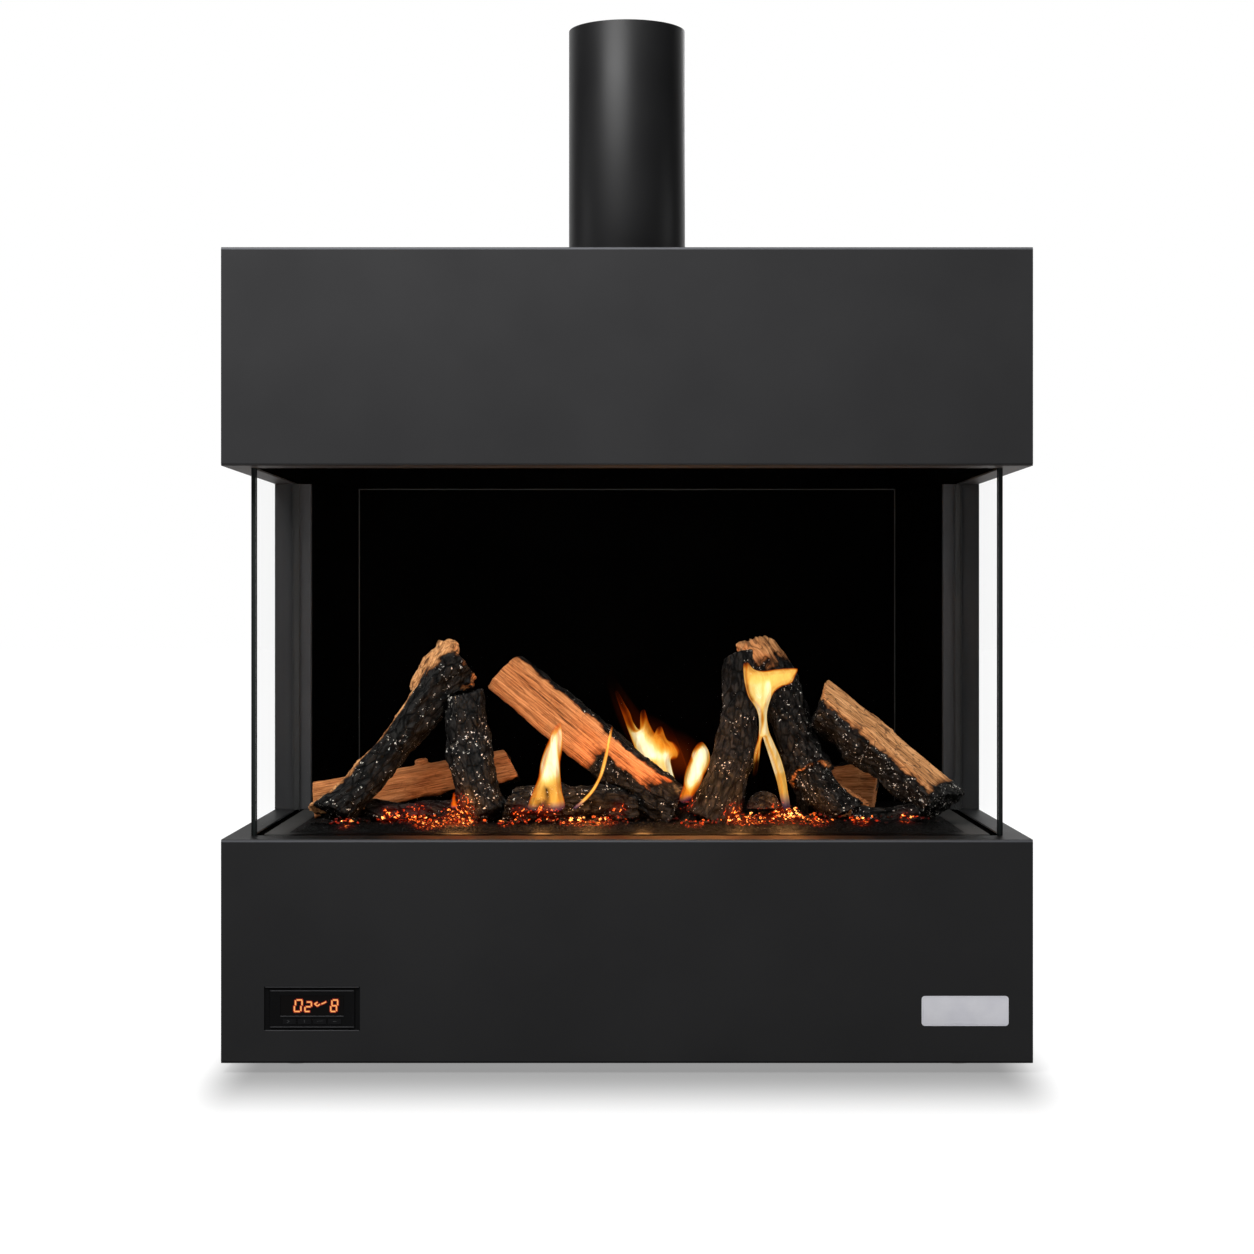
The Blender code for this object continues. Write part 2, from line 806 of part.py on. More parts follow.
def glass_channel(name, low, high, floor, mouth):
    """A channel round three sides of the chamber: a groove for the panes, between two shelves."""
    outer_front = front + front_border - channel_shelf
    outer_side = wall - side_border + channel_shelf
    inner_front = tray_front + channel_shelf
    inner_side = tray_wall - channel_shelf
    rear = liner_back
    bm = block((-outer_side, outer_front, low), (outer_side, rear, high))
    obj = add_object(name, bm, black)
    cut(obj, block((-inner_side, inner_front, low - overrun), (inner_side, rear + overrun, high + overrun)))
    near = glass_front_plane - pane_play
    far = glass_front_plane + pane + pane_play
    side = glass_side_plane + pane_play
    side_inner = glass_side_plane - pane - pane_play
    end = wing_plane + seat_gap
    ring_groove = block((-side, near, floor), (side, end, mouth))
    groove = add_object(f"{name}_groove", ring_groove, None)
    core_low, core_high = min(floor, mouth) - overrun, max(floor, mouth) + overrun
    change(groove, block((-side_inner, far, core_low), (side_inner, end + overrun, core_high)), "DIFFERENCE")
    cut(obj, baked(groove))
    return obj


def glass_channels():
    """The lower channel under the deck, and the deeper upper one, into which the front pane lifts."""
    top = deck - sheet - seat_gap
    depth = lower_engagement - sheet
    floor = top - depth
    glass_channel("lower_glass_channel", floor - channel_wall, top, floor, top + overrun)
    bottom = soffit + sheet + seat_gap
    roof = soffit + upper_engagement + lift_travel + pane_play
    glass_channel("upper_glass_channel", bottom, roof + channel_wall, bottom - overrun, roof)


def burner_middle():
    """The burner's middle, from front to back."""
    return bed_front + (bed_back - bed_front) * burner_place_share


def burner():
    """A shallow hollow box with two rows of slots on top and an inlet spigot below."""
    low = deck - pan_depth + sheet + seat_gap
    high = low + burner_height
    half, deep, y = burner_width / 2, burner_depth / 2, burner_middle()
    bm = block((-half, y - deep, low), (half, y + deep, high))
    round_edges(bm, burner_height / 2, bend_steps, lambda a, b: a.x == b.x and a.y == b.y)
    obj = add_object("burner", bm, stainless)
    spigot = turned([(spigot_radius, low - spigot_drop), (spigot_radius, low + burner_height / 2)], 24)
    join(obj, placed(spigot, (-spigot_offset, y, 0.0)))
    thin = burner_sheet
    cut(obj, block((-half + thin, y - deep + thin, low + thin), (half - thin, y + deep - thin, high - thin)))
    bore = spigot_radius - tube_wall
    cut(obj, placed(turned([(bore, low - spigot_drop - overrun), (bore, low + burner_height / 2)], 24),
                    (-spigot_offset, y, 0.0)))
    slots = []
    pitch = burner_width / (port_columns + 1)
    for row in (-port_row_pitch / 2, port_row_pitch / 2):
        for column in range(port_columns):
            x = -half + pitch * (column + 1)
            near = (x - port_length / 2, y + row - port_width / 2, high - overrun / 2)
            slots.append(block(near, (x + port_length / 2, y + row + port_width / 2, high + overrun)))
    cut(obj, merge(*slots))
    return obj


def mixing_tube():
    """The venturi tube under the pan: a mouth that faces the injector, and a bend up to the burner."""
    y = burner_middle()
    top = deck - pan_depth + sheet + seat_gap - spigot_drop - seat_gap
    mouth = -spigot_offset + mixing_length
    corners = [(mouth, y, mixing_level), (-spigot_offset, y, mixing_level), (-spigot_offset, y, top)]
    bore = spigot_radius - tube_wall
    tube = swept(bent(corners, mixing_bend), spigot_radius, bore, 16)
    obj = add_object("mixing_tube", tube, stainless, smooth=True)
    cut(obj, air_windows(spigot_radius))
    return obj


def shutter_x():
    """The left end of the air shutter."""
    return -spigot_offset + mixing_length - shutter_setback - shutter_length


def air_windows(radius):
    """Two openings, above and below, through the tube and its shutter."""
    x = shutter_x() + (shutter_length - air_window) / 2
    y = burner_middle()
    half = air_window / 2
    reach = radius + overrun
    return block((x, y - half, mixing_level - reach), (x + air_window, y + half, mixing_level + reach))


def air_shutter():
    """A sleeve that turns on the mixing tube and covers its air windows more or less."""
    inner = spigot_radius + shutter_play
    sleeve = ring(inner, inner + shutter_wall, 0.0, shutter_length, 24)
    origin = (shutter_x(), burner_middle(), mixing_level)
    obj = add_object("air_shutter", placed(sleeve, origin, along_x()), zinc, origin, smooth=True)
    cut(obj, air_windows(spigot_radius))
    return obj


def pilot_y():
    """The pilot's place, behind the burner."""
    return burner_middle() + pilot_setback


def pilot():
    """The pilot: an angle bracket on the pan, a burner tube and a sensing rod."""
    floor = deck - pan_depth + sheet + seat_gap
    y = pilot_y()
    half = pilot_width / 2
    bm = block((-half, y, floor), (half, y + pilot_width, floor + pilot_sheet))
    obj = add_object("pilot", bm, stainless)
    join(obj, block((-half, y, floor), (half, y + pilot_sheet, floor + pilot_post)))
    shelf = floor + pilot_post - pilot_sheet
    join(obj, block((-half, y, shelf), (half, y + pilot_width / 2, floor + pilot_post)))
    for x, radius in ((-half / 2, pilot_tube_radius), (half / 2, pilot_tube_radius / 2)):
        stem = turned([(radius, shelf - pilot_post / 4), (radius, shelf + pilot_post / 4)], 12)
        join(obj, placed(stem, (x, y + pilot_width / 4, 0.0)))
    return obj


def bed_height(x_share, y_share):
    """The ember bed's height over its edge, from 0 to 1: low in front, a soft mound with lumps behind."""
    mound = math.sin(math.pi * x_share) * math.sin(math.pi * min(1.0, y_share + bed_lean_share))
    lumps = noise.noise(Vector((x_share * bed_lump_columns, y_share * bed_lump_rows, 0.0)))
    return max(0.0, mound * bed_mound_share + lumps * bed_lump_share)


def ember_bed():
    """Loose granules and ember chips, filling the pan round and over the burner."""
    floor = deck - pan_depth + sheet + seat_gap
    side = bed_wall - seat_gap
    near, far = bed_front + seat_gap, bed_back - seat_gap
    bm = bmesh.new()
    grid = []
    for row in range(bed_rows + 1):
        line = []
        for column in range(bed_columns + 1):
            x_share, y_share = column / bed_columns, row / bed_rows
            x = -side + 2 * side * x_share
            y = near + (far - near) * y_share
            line.append(bm.verts.new((x, y, deck - seat_gap + bed_swell * bed_height(x_share, y_share))))
        grid.append(line)
    for line, beyond in zip(grid, grid[1:]):
        for column in range(bed_columns):
            bm.faces.new((line[column], line[column + 1], beyond[column + 1], beyond[column]))
    rim = grid[0] + [line[-1] for line in grid[1:-1]] + grid[-1][::-1] + [line[0] for line in grid[-2:0:-1]]
    foot = [bm.verts.new((vert.co.x, vert.co.y, floor)) for vert in rim]
    for index, vert in enumerate(rim):
        after = (index + 1) % len(rim)
        bm.faces.new((vert, rim[after], foot[after], foot[index]))
    bm.faces.new(foot)
    bmesh.ops.triangulate(bm, faces=bm.faces)
    obj = add_object("ember_bed", bm, embers)
    for side_sign in (-1, 1):
        cut(obj, bed_corner(side_sign))
    bottom, y = floor - overrun, burner_middle()
    half, deep = burner_width / 2 + seat_gap, burner_depth / 2 + seat_gap
    cut(obj, block((-half, y - deep, bottom), (half, y + deep, floor + burner_height + seat_gap)))
    half, near = pilot_width / 2 + seat_gap, pilot_y() - seat_gap
    cut(obj, block((-half, near, bottom), (half, near + pilot_width + 2 * seat_gap, deck + pilot_post)))
    return obj


def bed_corner(side):
    """The wedge outside the pan's drawn-in rear part, on one side."""
    outline = chamber_outline(seat_gap)
    turn, narrow = outline[2], outline[3]
    reach = overrun * 2
    slope = Vector((narrow[0] - turn[0], narrow[1] - turn[1]))
    beyond = (narrow[0] + slope.x * reach, narrow[1] + slope.y * reach)
    before = (turn[0] - slope.x * reach, turn[1] - slope.y * reach)
    points = [before, beyond, (wall, beyond[1]), (wall, before[1])]
    return prism([(side * x, y) for x, y in points], deck - pan_depth - overrun, deck + bed_swell + overrun)


def log_place(shares):
    """A place over the bed from its shares."""
    x_share, y_share, z_share = shares
    y = bed_front + y_share * (bed_back - bed_front)
    return Vector((x_share * bed_wall, y, deck + z_share * glass_opening))


def log_radius(turn, t, seed, first, splits):
    """A log's radius at a turn about its middle line and a share t of its length, for a log of radius 1.

    Bark has long ridges and lumps. A split face cuts it off flat, with a fine grain.
    """
    x, y = math.cos(turn) * bark_lump_round_share, math.sin(turn) * bark_lump_round_share
    lumps = noise.noise(Vector((x, y, t * bark_lump_count + seed)))
    sway = ridge_sway_share * math.sin(t * ridge_wave_count + seed)
    ridges = math.sin(turn * ridge_count + seed + sway)
    radius = 1.0 + bark_lump_share * lumps + ridge_share * ridges
    for offset, distance in splits:
        facing = math.cos(turn - (first + offset) * math.tau)
        if facing > 0:
            place = Vector((turn * grain_round_count, t * grain_along_count, seed))
            grain = grain_share * noise.noise(place)
            radius = min(radius, (distance + grain) / facing)
    return radius


def log_size_share(t, foot, waist, head):
    """A log's size at a share t of its length, on a smooth curve through its three sizes."""
    return foot * (1 - t) * (1 - 2 * t) + 4 * waist * t * (1 - t) + head * t * (2 * t - 1)


def log_bend_share(t, first, second):
    """How far a log's middle line is bent at a share t, on a cubic through both ends and both bends."""
    return 4.5 * t * (1 - t) * (first * (2 - 3 * t) + second * (3 * t - 1))


def log_body(seed, start, end, sizes, first, splits, bends, slants):
    """Rings along a curved line, closed at both slanting ends."""
    bm = bmesh.new()
    start, end = log_place(start), log_place(end)
    along = (end - start).normalized()
    if along.z < 0:
        along = -along
    right = Vector((0.0, 1.0, 0.0)).cross(along).normalized()
    towards = along.cross(right).normalized()
    if towards.y > 0:
        towards = -towards
    loops = []
    for index in range(log_rings + 1):
        t = index / log_rings
        size = log_size / 2 * log_size_share(t, *sizes)
        middle = start.lerp(end, t) + right * (log_bend_share(t, *bends) * log_size / 2)
        loop = []
        for step in range(log_sides):
            turn = math.tau * step / log_sides
            radius = size * log_radius(turn, t, seed, first, splits)
            out = right * math.cos(turn) + towards * math.sin(turn)
            slant = slants[0] * max(0.0, 1 - slant_count * t)
            slant -= slants[1] * max(0.0, 1 - slant_count * (1 - t))
            shift = (end - start).normalized() * (slant * size * math.cos(turn + seed))
            loop.append(bm.verts.new(middle + out * radius + shift))
        loops.append(loop)
    for first_loop, second_loop in zip(loops, loops[1:]):
        for step in range(log_sides):
            after = (step + 1) % log_sides
            bm.faces.new((first_loop[step], first_loop[after], second_loop[after], second_loop[step]))
    for loop in (loops[0], loops[-1]):
        middle = sum((vert.co for vert in loop), Vector()) / log_sides
        centre = bm.verts.new(middle)
        for step in range(log_sides):
            bm.faces.new((loop[step], loop[(step + 1) % log_sides], centre))
    bmesh.ops.triangulate(bm, faces=bm.faces)
    return bm


def swollen(obj, clearance):
    """A copy of an object's finished shape, larger all round by the clearance."""
    bpy.context.view_layer.update()
    graph = bpy.context.evaluated_depsgraph_get()
    mesh = bpy.data.meshes.new_from_object(obj.evaluated_get(graph))
    bm = bmesh.new()
    bm.from_mesh(mesh)
    bpy.data.meshes.remove(mesh)
    bmesh.ops.remove_doubles(bm, verts=bm.verts, dist=seat_gap / 3)
    bm.normal_update()
    for vert in bm.verts:
        vert.co += vert.normal * (clearance * min(sharpest_share, vert.calc_shell_factor()))
    return bm


def near_each_other(first, second):
    """Whether two objects' boxes meet."""
    boxes = []
    for obj in (first, second):
        corners = [vert.co for vert in obj.data.vertices]
        boxes.append([(min(c[axis] for c in corners), max(c[axis] for c in corners)) for axis in range(3)])
    return all(a[0] < b[1] and b[0] < a[1] for a, b in zip(*boxes))


def spread(verts):
    """How far some corners spread in X, Y and Z together."""
    total = 0.0
    for axis in range(3):
        places = [vert.co[axis] for vert in verts]
        total += max(places) - min(places)
    return total


def keep_largest(bm):
    """Removes the crumbs that a seat cuts off a log."""
    bm.verts.ensure_lookup_table()
    left, pieces = set(bm.verts), []
    while left:
        grown, edge = set(), [left.pop()]
        while edge:
            vert = edge.pop()
            grown.add(vert)
            for link in vert.link_edges:
                other = link.other_vert(vert)
                if other in left:
                    left.discard(other)
                    edge.append(other)
        pieces.append(grown)
    pieces.sort(key=spread)
    crumbs = [vert for piece in pieces[:-1] for vert in piece]
    bmesh.ops.delete(bm, geom=crumbs, context="VERTS")
    return bm


def logs(bed):
    """The log set: each log is seated on the bed and on the logs laid before it."""
    laid = [bed]
    for seed, (name, shares) in enumerate(log_shares.items()):
        start, end, sizes, first, splits, bends, slants = shares
        body = log_body(seed, start, end, sizes, first, splits, bends, slants)
        material = split_wood if name in wood_logs else charred
        rough = add_object(f"{name}_rough", body, None)
        for other in laid:
            if near_each_other(rough, other):
                change(rough, swollen(other, log_clearance), "DIFFERENCE")
        obj = add_object(name, keep_largest(baked(rough)), material)
        laid.append(obj)


def display():
    """The display: a recessed frame in the casing, the module in it, its window and its four keys."""
    plane = front + bezel_recess
    room = 2 * seat_gap
    frame = rounded_outline(display_width - room, display_height - room, module_round)
    body = facing_front(frame, plane, plane + bezel_depth, display_x, display_z)
    bezel = add_object("display_bezel", body, black_plastic)
    lip = rounded_outline(display_width + 2 * bezel_lip, display_height + 2 * bezel_lip, module_round)
    lip_near = front + sheet + seat_gap
    join(bezel, facing_front(lip, lip_near, lip_near + bezel_lip_sheet, display_x, display_z))
    hole = rounded_outline(module_width + room, module_height + room, module_round)
    cut(bezel, facing_front(hole, front - overrun, plane + bezel_depth + overrun, display_x, display_z))
    face = front + module_recess
    shape = rounded_outline(module_width, module_height, module_round)
    bm = facing_front(shape, face, face + module_depth, display_x, display_z)
    round_edges(bm, module_round / 2, 1, lambda a, b: a.y < face + seat_gap and b.y < face + seat_gap)
    module = add_object("display_module", bm, black_plastic)
    window_z = display_z + screen_rise
    pocket = rounded_outline(screen_width + room, screen_height + room, module_round)
    pocket_depth = screen_recess + screen_thickness + seat_gap
    cut(module, facing_front(pocket, face - overrun, face + pocket_depth, display_x, window_z))
    window = rounded_outline(screen_width, screen_height, module_round)
    near = face + screen_recess
    window = facing_front(window, near, near + screen_thickness, display_x, window_z)
    add_object("display_screen", window, screen_glass)
    keys(module, face)


def keys(module, face):
    """Four keys in a row under the window, each in its own pocket."""
    z = display_z - key_drop
    for index in range(key_count):
        x = display_x + key_pitch * (index - (key_count - 1) / 2)
        pocket = rounded_outline(key_width + 2 * key_play, key_height + 2 * key_play, module_round)
        depth = key_thickness - key_proud + key_travel + key_play
        cut(module, facing_front(pocket, face - overrun, face + depth, x, z))
        cap = rounded_outline(key_width, key_height, module_round)
        near = face - key_proud
        bm = facing_front(cap, near, near + key_thickness, x, z)
        add_object(f"display_key_{index + 1}", bm, black_plastic, (x, near, z))


def badge_plate():
    """A bare metal plate, flush in its seat on the base's front."""
    shape = rounded_outline(plate_width, plate_height, plate_round)
    body = facing_front(shape, front, front + plate_thickness, plate_x, plate_z)
    return add_object("badge_plate", body, silver)


def flue():
    """The balanced flue: a collar on the hood, the outer pipe over it, and the inner pipe."""
    top = crown + flue_rise
    base = crown - sheet
    place = (0.0, flue_y, 0.0)
    socket = flue_radius - flue_wall - seat_gap
    outer = flue_radius + collar_flange
    profile = [
        (socket - flue_wall, base),
        (outer, base),
        (outer, base + collar_plate),
        (socket, base + collar_plate),
        (socket, base + collar_height),
        (socket - flue_wall, base + collar_height),
    ]
    add_object("flue_collar", placed(turned(profile, closed=True), place), painted, smooth=True)
    foot = base + collar_plate + seat_gap
    pipe = ring(flue_radius - flue_wall, flue_radius, foot, top)
    add_object("flue_outer", placed(pipe, place), painted, smooth=True)
    inner_foot = soffit + ceiling_rise + seat_gap
    pipe = ring(flue_inner_radius - flue_wall, flue_inner_radius, inner_foot, top)
    add_object("flue_inner", placed(pipe, place), stainless, smooth=True)
    flue_spacer(top - spacer_drop)


def flue_spacer(low):
    """A band round the inner pipe with three legs that reach the outer one."""
    place = (0.0, flue_y, 0.0)
    inner = flue_inner_radius + seat_gap
    high = low + spacer_height
    obj = add_object("flue_spacer", placed(ring(inner, inner + flue_wall, low, high), place), stainless)
    reach = flue_radius - flue_wall - 2 * seat_gap
    for leg in range(3):
        start = inner + flue_wall / 2
        arm = block((start, -spacer_leg / 2, low), (reach, spacer_leg / 2, high))
        turn = Matrix.Rotation(math.tau * leg / 3 + math.pi / 2, 4, "Z")
        join(obj, placed(arm, place, turn))


def valve_middle():
    """The gas valve's place on the floor sheet."""
    return Vector((wall - valve_inset, burner_middle(), floor_top + seat_gap))


def gas_valve():
    """The die-cast gas valve with its two ports, and the knob on its front."""
    middle = valve_middle()
    half, deep = valve_width / 2, valve_depth / 2
    low, high = middle.z, middle.z + valve_height
    bm = block((middle.x - half, middle.y - deep, low), (middle.x + half, middle.y + deep, high))
    round_edges(bm, valve_chamfer, 1, lambda a, b: a.z > low + sheet and b.z > low + sheet)
    obj = add_object("gas_valve", bm, die_cast)
    rim = 2 * valve_chamfer
    cap = turned([(valve_depth / 3, 0.0), (valve_depth / 3, rim), (valve_depth / 4, rim + valve_chamfer)], 24)
    join(obj, placed(cap, (middle.x + half / 2, middle.y, high - valve_chamfer)))
    boss = turned([(knob_radius / 2, 0.0), (knob_radius / 2, 2 * knob_skirt)], 20)
    boss_y = middle.y - deep - knob_skirt
    join(obj, placed(boss, (middle.x - knob_offset, boss_y, low + knob_rise), along_y()))
    return obj


def valve_knob():
    """A ribbed control knob, turning about its middle, which faces the front."""
    middle = valve_middle()
    outline = []
    for step in range(knob_ribs * 4):
        turn = math.tau * step / (knob_ribs * 4)
        radius = knob_radius - (knob_rib_depth if step % 4 < 2 else 0.0)
        outline.append((radius * math.cos(turn), radius * math.sin(turn)))
    base = middle.y - valve_depth / 2 - knob_skirt - seat_gap
    place = (middle.x - knob_offset, base, middle.z + knob_rise)
    bm = facing_front(outline, base - knob_height, base, place[0], place[2])
    obj = add_object("valve_knob", bm, black_plastic, place)
    half = knob_rib_depth
    grip = block((place[0] - half, base - knob_height - knob_skirt, place[2] - knob_radius / 2),
                 (place[0] + half, base - knob_height / 2, place[2] + knob_radius - 2 * knob_rib_depth))
    join(obj, grip)
    return obj


def gas_pipes():
    """The supply pipe from the cock to the valve, and the burner pipe with the injector at its end."""
    middle = valve_middle()
    port_z = middle.z + valve_port_height
    right = middle.x + valve_width / 2 + seat_gap
    left = middle.x - valve_width / 2 - seat_gap
    start = back - cock_length - seat_gap
    corners = [
        (gas_x, start, gas_height),
        (gas_x, middle.y, gas_height),
        (gas_x, middle.y, port_z),
        (right, middle.y, port_z),
    ]
    supply = swept(bent(corners, pipe_bend), pipe_radius, pipe_bore)
    add_object("supply_pipe", supply, zinc, smooth=True)
    mouth = -spigot_offset + mixing_length - shutter_setback / 2
    turn_x = left - pipe_bend * pipe_drop_share
    corners = [
        (left, middle.y, port_z),
        (turn_x, middle.y, port_z),
        (turn_x, middle.y, mixing_level),
        (mouth, middle.y, mixing_level),
    ]
    burner_feed = swept(bent(corners, pipe_bend), pipe_radius, pipe_bore)
    add_object("burner_pipe", burner_feed, zinc, smooth=True)


def gas_cock():
    """The shut-off cock: a bored brass body through the rear panel, with a stem for its lever."""
    wide, slim = cock_radius, inlet_radius
    length = cock_length
    collar, body = length * cock_collar_share, length * cock_body_share
    profile = [(slim, 0.0), (slim, collar), (wide, collar), (wide, body), (slim, body), (slim, length)]
    profile += [(cock_bore, length), (cock_bore, 0.0)]
    place = (gas_x, back - length, gas_height)
    obj = add_object("gas_cock", placed(turned(profile, 18, closed=True), place, along_y()), brass)
    stem_low = gas_height + (cock_radius + cock_bore) / 2
    stem_high = gas_height + cock_radius + cock_stem_height
    stem = turned([(cock_stem_radius, stem_low), (cock_stem_radius, stem_high)], 16)
    join(obj, placed(stem, (gas_x, lever_y(), 0.0)))


def lever_y():
    """The cock's stem, from front to back."""
    return back - cock_length / 2


def cock_lever():
    """The lever on the cock: along the pipe when open, and a quarter turn aside when shut."""
    low = gas_height + cock_radius + cock_stem_height + seat_gap
    y = lever_y()
    outline = rounded_outline(lever_width, lever_length + lever_width, lever_width / 2 - seat_gap)
    middle = y - lever_length / 2
    bm = prism([(gas_x + a, middle + b) for a, b in outline], low, low + lever_sheet)
    return add_object("cock_lever", bm, zinc, (gas_x, y, low))


def receiver_box():
    """The receiver and control box, on the floor sheet behind the display."""
    y = front + receiver_setback
    shape = rounded_outline(receiver_width, receiver_depth, receiver_round)
    low = floor_top + seat_gap
    bm = prism([(display_x + a, y + b) for a, b in shape], low, low + receiver_height)
    round_edges(bm, receiver_round / 2, 1, lambda a, b: a.z > low + sheet and b.z > low + sheet)
    return add_object("receiver_box", bm, black_plastic)


def foot_places():
    """The four levelling feet, set in from the corners."""
    x = wall - foot_inset
    return [(side * x, y) for side in (-1, 1) for y in (front + foot_setback, back - foot_setback)]


def feet():
    """Levelling feet: a pad, its stud through the floor sheet, and the nut on the stud."""
    names = ("foot_left_front", "foot_left_rear", "foot_right_front", "foot_right_rear")
    shoulder = foot_height + sheet
    nut = floor_top + seat_gap
    profile = [
        (foot_radius - foot_pad_height / 4, 0.0),
        (foot_radius, foot_pad_height / 4),
        (foot_radius, foot_pad_height),
        (foot_neck_radius, foot_pad_height * 2),
        (foot_neck_radius, shoulder),
        (stud_radius, shoulder),
        (stud_radius, nut),
        (nut_radius, nut),
        (nut_radius, nut + nut_height),
        (stud_radius, nut + nut_height),
        (stud_radius, stud_height),
    ]
    for name, (x, y) in zip(names, foot_places()):
        add_object(name, placed(turned(profile, 16), (x, y, 0.0)), zinc, (x, y, 0.0), smooth=True)


def build():
    """Clears the scene and makes every piece, from the casing inwards."""
    base_casing()
    hood_casing()
    back_panel()
    base_floor()
    hood_top()
    wing("wing_left", -1)
    wing("wing_right", 1)
    firebox_back()
    firebox_liner("firebox_liner_left", -1)
    firebox_liner("firebox_liner_right", 1)
    firebox_ceiling()
    relief_flap("relief_flap_left", -flap_x)
    relief_flap("relief_flap_right", flap_x)
    glass_panes()
    glass_seal("glass_seal_left", -1)
    glass_seal("glass_seal_right", 1)
    glass_channels()
    burner_tray()
    burner()
    mixing_tube()
    air_shutter()
    pilot()
    logs(ember_bed())
    display()
    badge_plate()
    flue()
    gas_valve()
    valve_knob()
    gas_pipes()
    gas_cock()
    cock_lever()
    receiver_box()
    feet()


for old in list(bpy.data.objects):
    bpy.data.objects.remove(old)
build()
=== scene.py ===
import math
import random

import bpy
import numpy as np
from mathutils import Matrix, Vector, noise


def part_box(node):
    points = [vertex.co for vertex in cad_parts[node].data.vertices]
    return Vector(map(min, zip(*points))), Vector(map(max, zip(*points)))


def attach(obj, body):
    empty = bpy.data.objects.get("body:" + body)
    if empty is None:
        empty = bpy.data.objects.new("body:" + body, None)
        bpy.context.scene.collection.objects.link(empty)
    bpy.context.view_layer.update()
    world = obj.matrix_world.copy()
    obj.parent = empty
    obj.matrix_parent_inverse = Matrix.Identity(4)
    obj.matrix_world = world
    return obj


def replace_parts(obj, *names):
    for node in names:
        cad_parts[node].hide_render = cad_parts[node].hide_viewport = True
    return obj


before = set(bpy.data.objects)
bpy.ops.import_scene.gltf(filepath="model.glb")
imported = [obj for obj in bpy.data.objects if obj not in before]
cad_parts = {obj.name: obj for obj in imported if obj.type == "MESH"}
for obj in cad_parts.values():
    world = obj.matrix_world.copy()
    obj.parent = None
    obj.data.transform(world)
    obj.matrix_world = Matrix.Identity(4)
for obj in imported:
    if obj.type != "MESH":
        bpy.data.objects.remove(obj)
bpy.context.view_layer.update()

scene = bpy.context.scene
scene.view_settings.view_transform = "Standard"

# The camera stands straight before the fire, level with the glass. A long lens keeps the boxes square, and
# a small shift leaves room for the flue.
def add_object(name, data):
    """An object put into the scene with its data."""
    obj = bpy.data.objects.new(name, data)
    scene.collection.objects.link(obj)
    return obj


sensor, picture, focal, shift = 36.0, 1254, 2550, -20
camera = add_object("camera", bpy.data.cameras.new("camera"))
camera.location = (0.0, -3.335, 0.5545)
camera.rotation_euler = (math.pi / 2, 0.0, 0.0)
camera.data.sensor_width = sensor
camera.data.lens = sensor * focal / picture
camera.data.shift_y = shift / picture
camera.data.clip_end = 200.0
scene.camera = camera


# The room is a white studio: a wide floor with a soft shadow before the fire, painted into its glow over the
# lamps' own shadow, white walls far off, soft lamps round the fire, and three black cards outside the picture
# that keep the glass clear.
def new_material(name):
    """A node material with its Principled shader."""
    material = bpy.data.materials.new(name)
    material.use_nodes = True
    return material, material.node_tree, material.node_tree.nodes["Principled BSDF"]


def put(node, values):
    """Sets a node's inputs. A value that is another node's output is linked."""
    for key, value in values.items():
        if isinstance(value, bpy.types.NodeSocket):
            node.id_data.links.new(value, node.inputs[key])
        else:
            node.inputs[key].default_value = value


def add_node(tree, kind, values=None, **settings):
    """A shader node with its settings and its inputs."""
    node = tree.nodes.new(f"ShaderNode{kind}")
    for key, value in settings.items():
        setattr(node, key, value)
    put(node, values or {})
    return node


def tree_of(*values):
    """The node tree that a value comes from."""
    return next(value.id_data for value in values if isinstance(value, bpy.types.NodeSocket))


def maths(operation, first, second=0.0, clamp=False):
    """The result of one sum."""
    tree = tree_of(first, second)
    node = add_node(tree, "Math", {0: first, 1: second}, operation=operation, use_clamp=clamp)
    return node.outputs[0]


def times(first, second):
    """One value multiplied by another."""
    return maths("MULTIPLY", first, second)


def plus(first, second):
    """One value added to another."""
    return maths("ADD", first, second)


def minus(first, second):
    """One value less another."""
    return maths("SUBTRACT", first, second)


def span(value, start, end, low=0.0, high=1.0, **settings):
    """A value carried from one range over to another, and held inside it."""
    values = {0: value, 1: start, 2: end, 3: low, 4: high}
    return add_node(value.id_data, "MapRange", values, **settings).outputs[0]


def object_place(tree):
    """The place of a point on its piece."""
    return add_node(tree, "TexCoord").outputs["Object"]


def xyz(vector):
    """The three numbers of a vector."""
    return add_node(vector.id_data, "SeparateXYZ", {0: vector}).outputs


def ramp(value, *stops):
    """A colour ramp through (position, colour) stops. A colour of one number is a grey."""
    node = add_node(value.id_data, "ValToRGB", {0: value})
    points = node.color_ramp.elements
    while len(points) < len(stops):
        points.new(0.5)
    for point, (position, colour) in zip(points, stops):
        point.position = position
        point.color = (*colour, 1.0) if len(colour) == 3 else (colour[0],) * 3 + (1.0,)
    return node.outputs[0]


def white_to_rays(tree):
    """One for rays from the camera, a mirror or glass, and zero for light."""
    path = add_node(tree, "LightPath")
    seen = maths("MAXIMUM", path.outputs["Is Camera Ray"], path.outputs["Is Glossy Ray"])
    return maths("MAXIMUM", seen, path.outputs["Is Transmission Ray"])


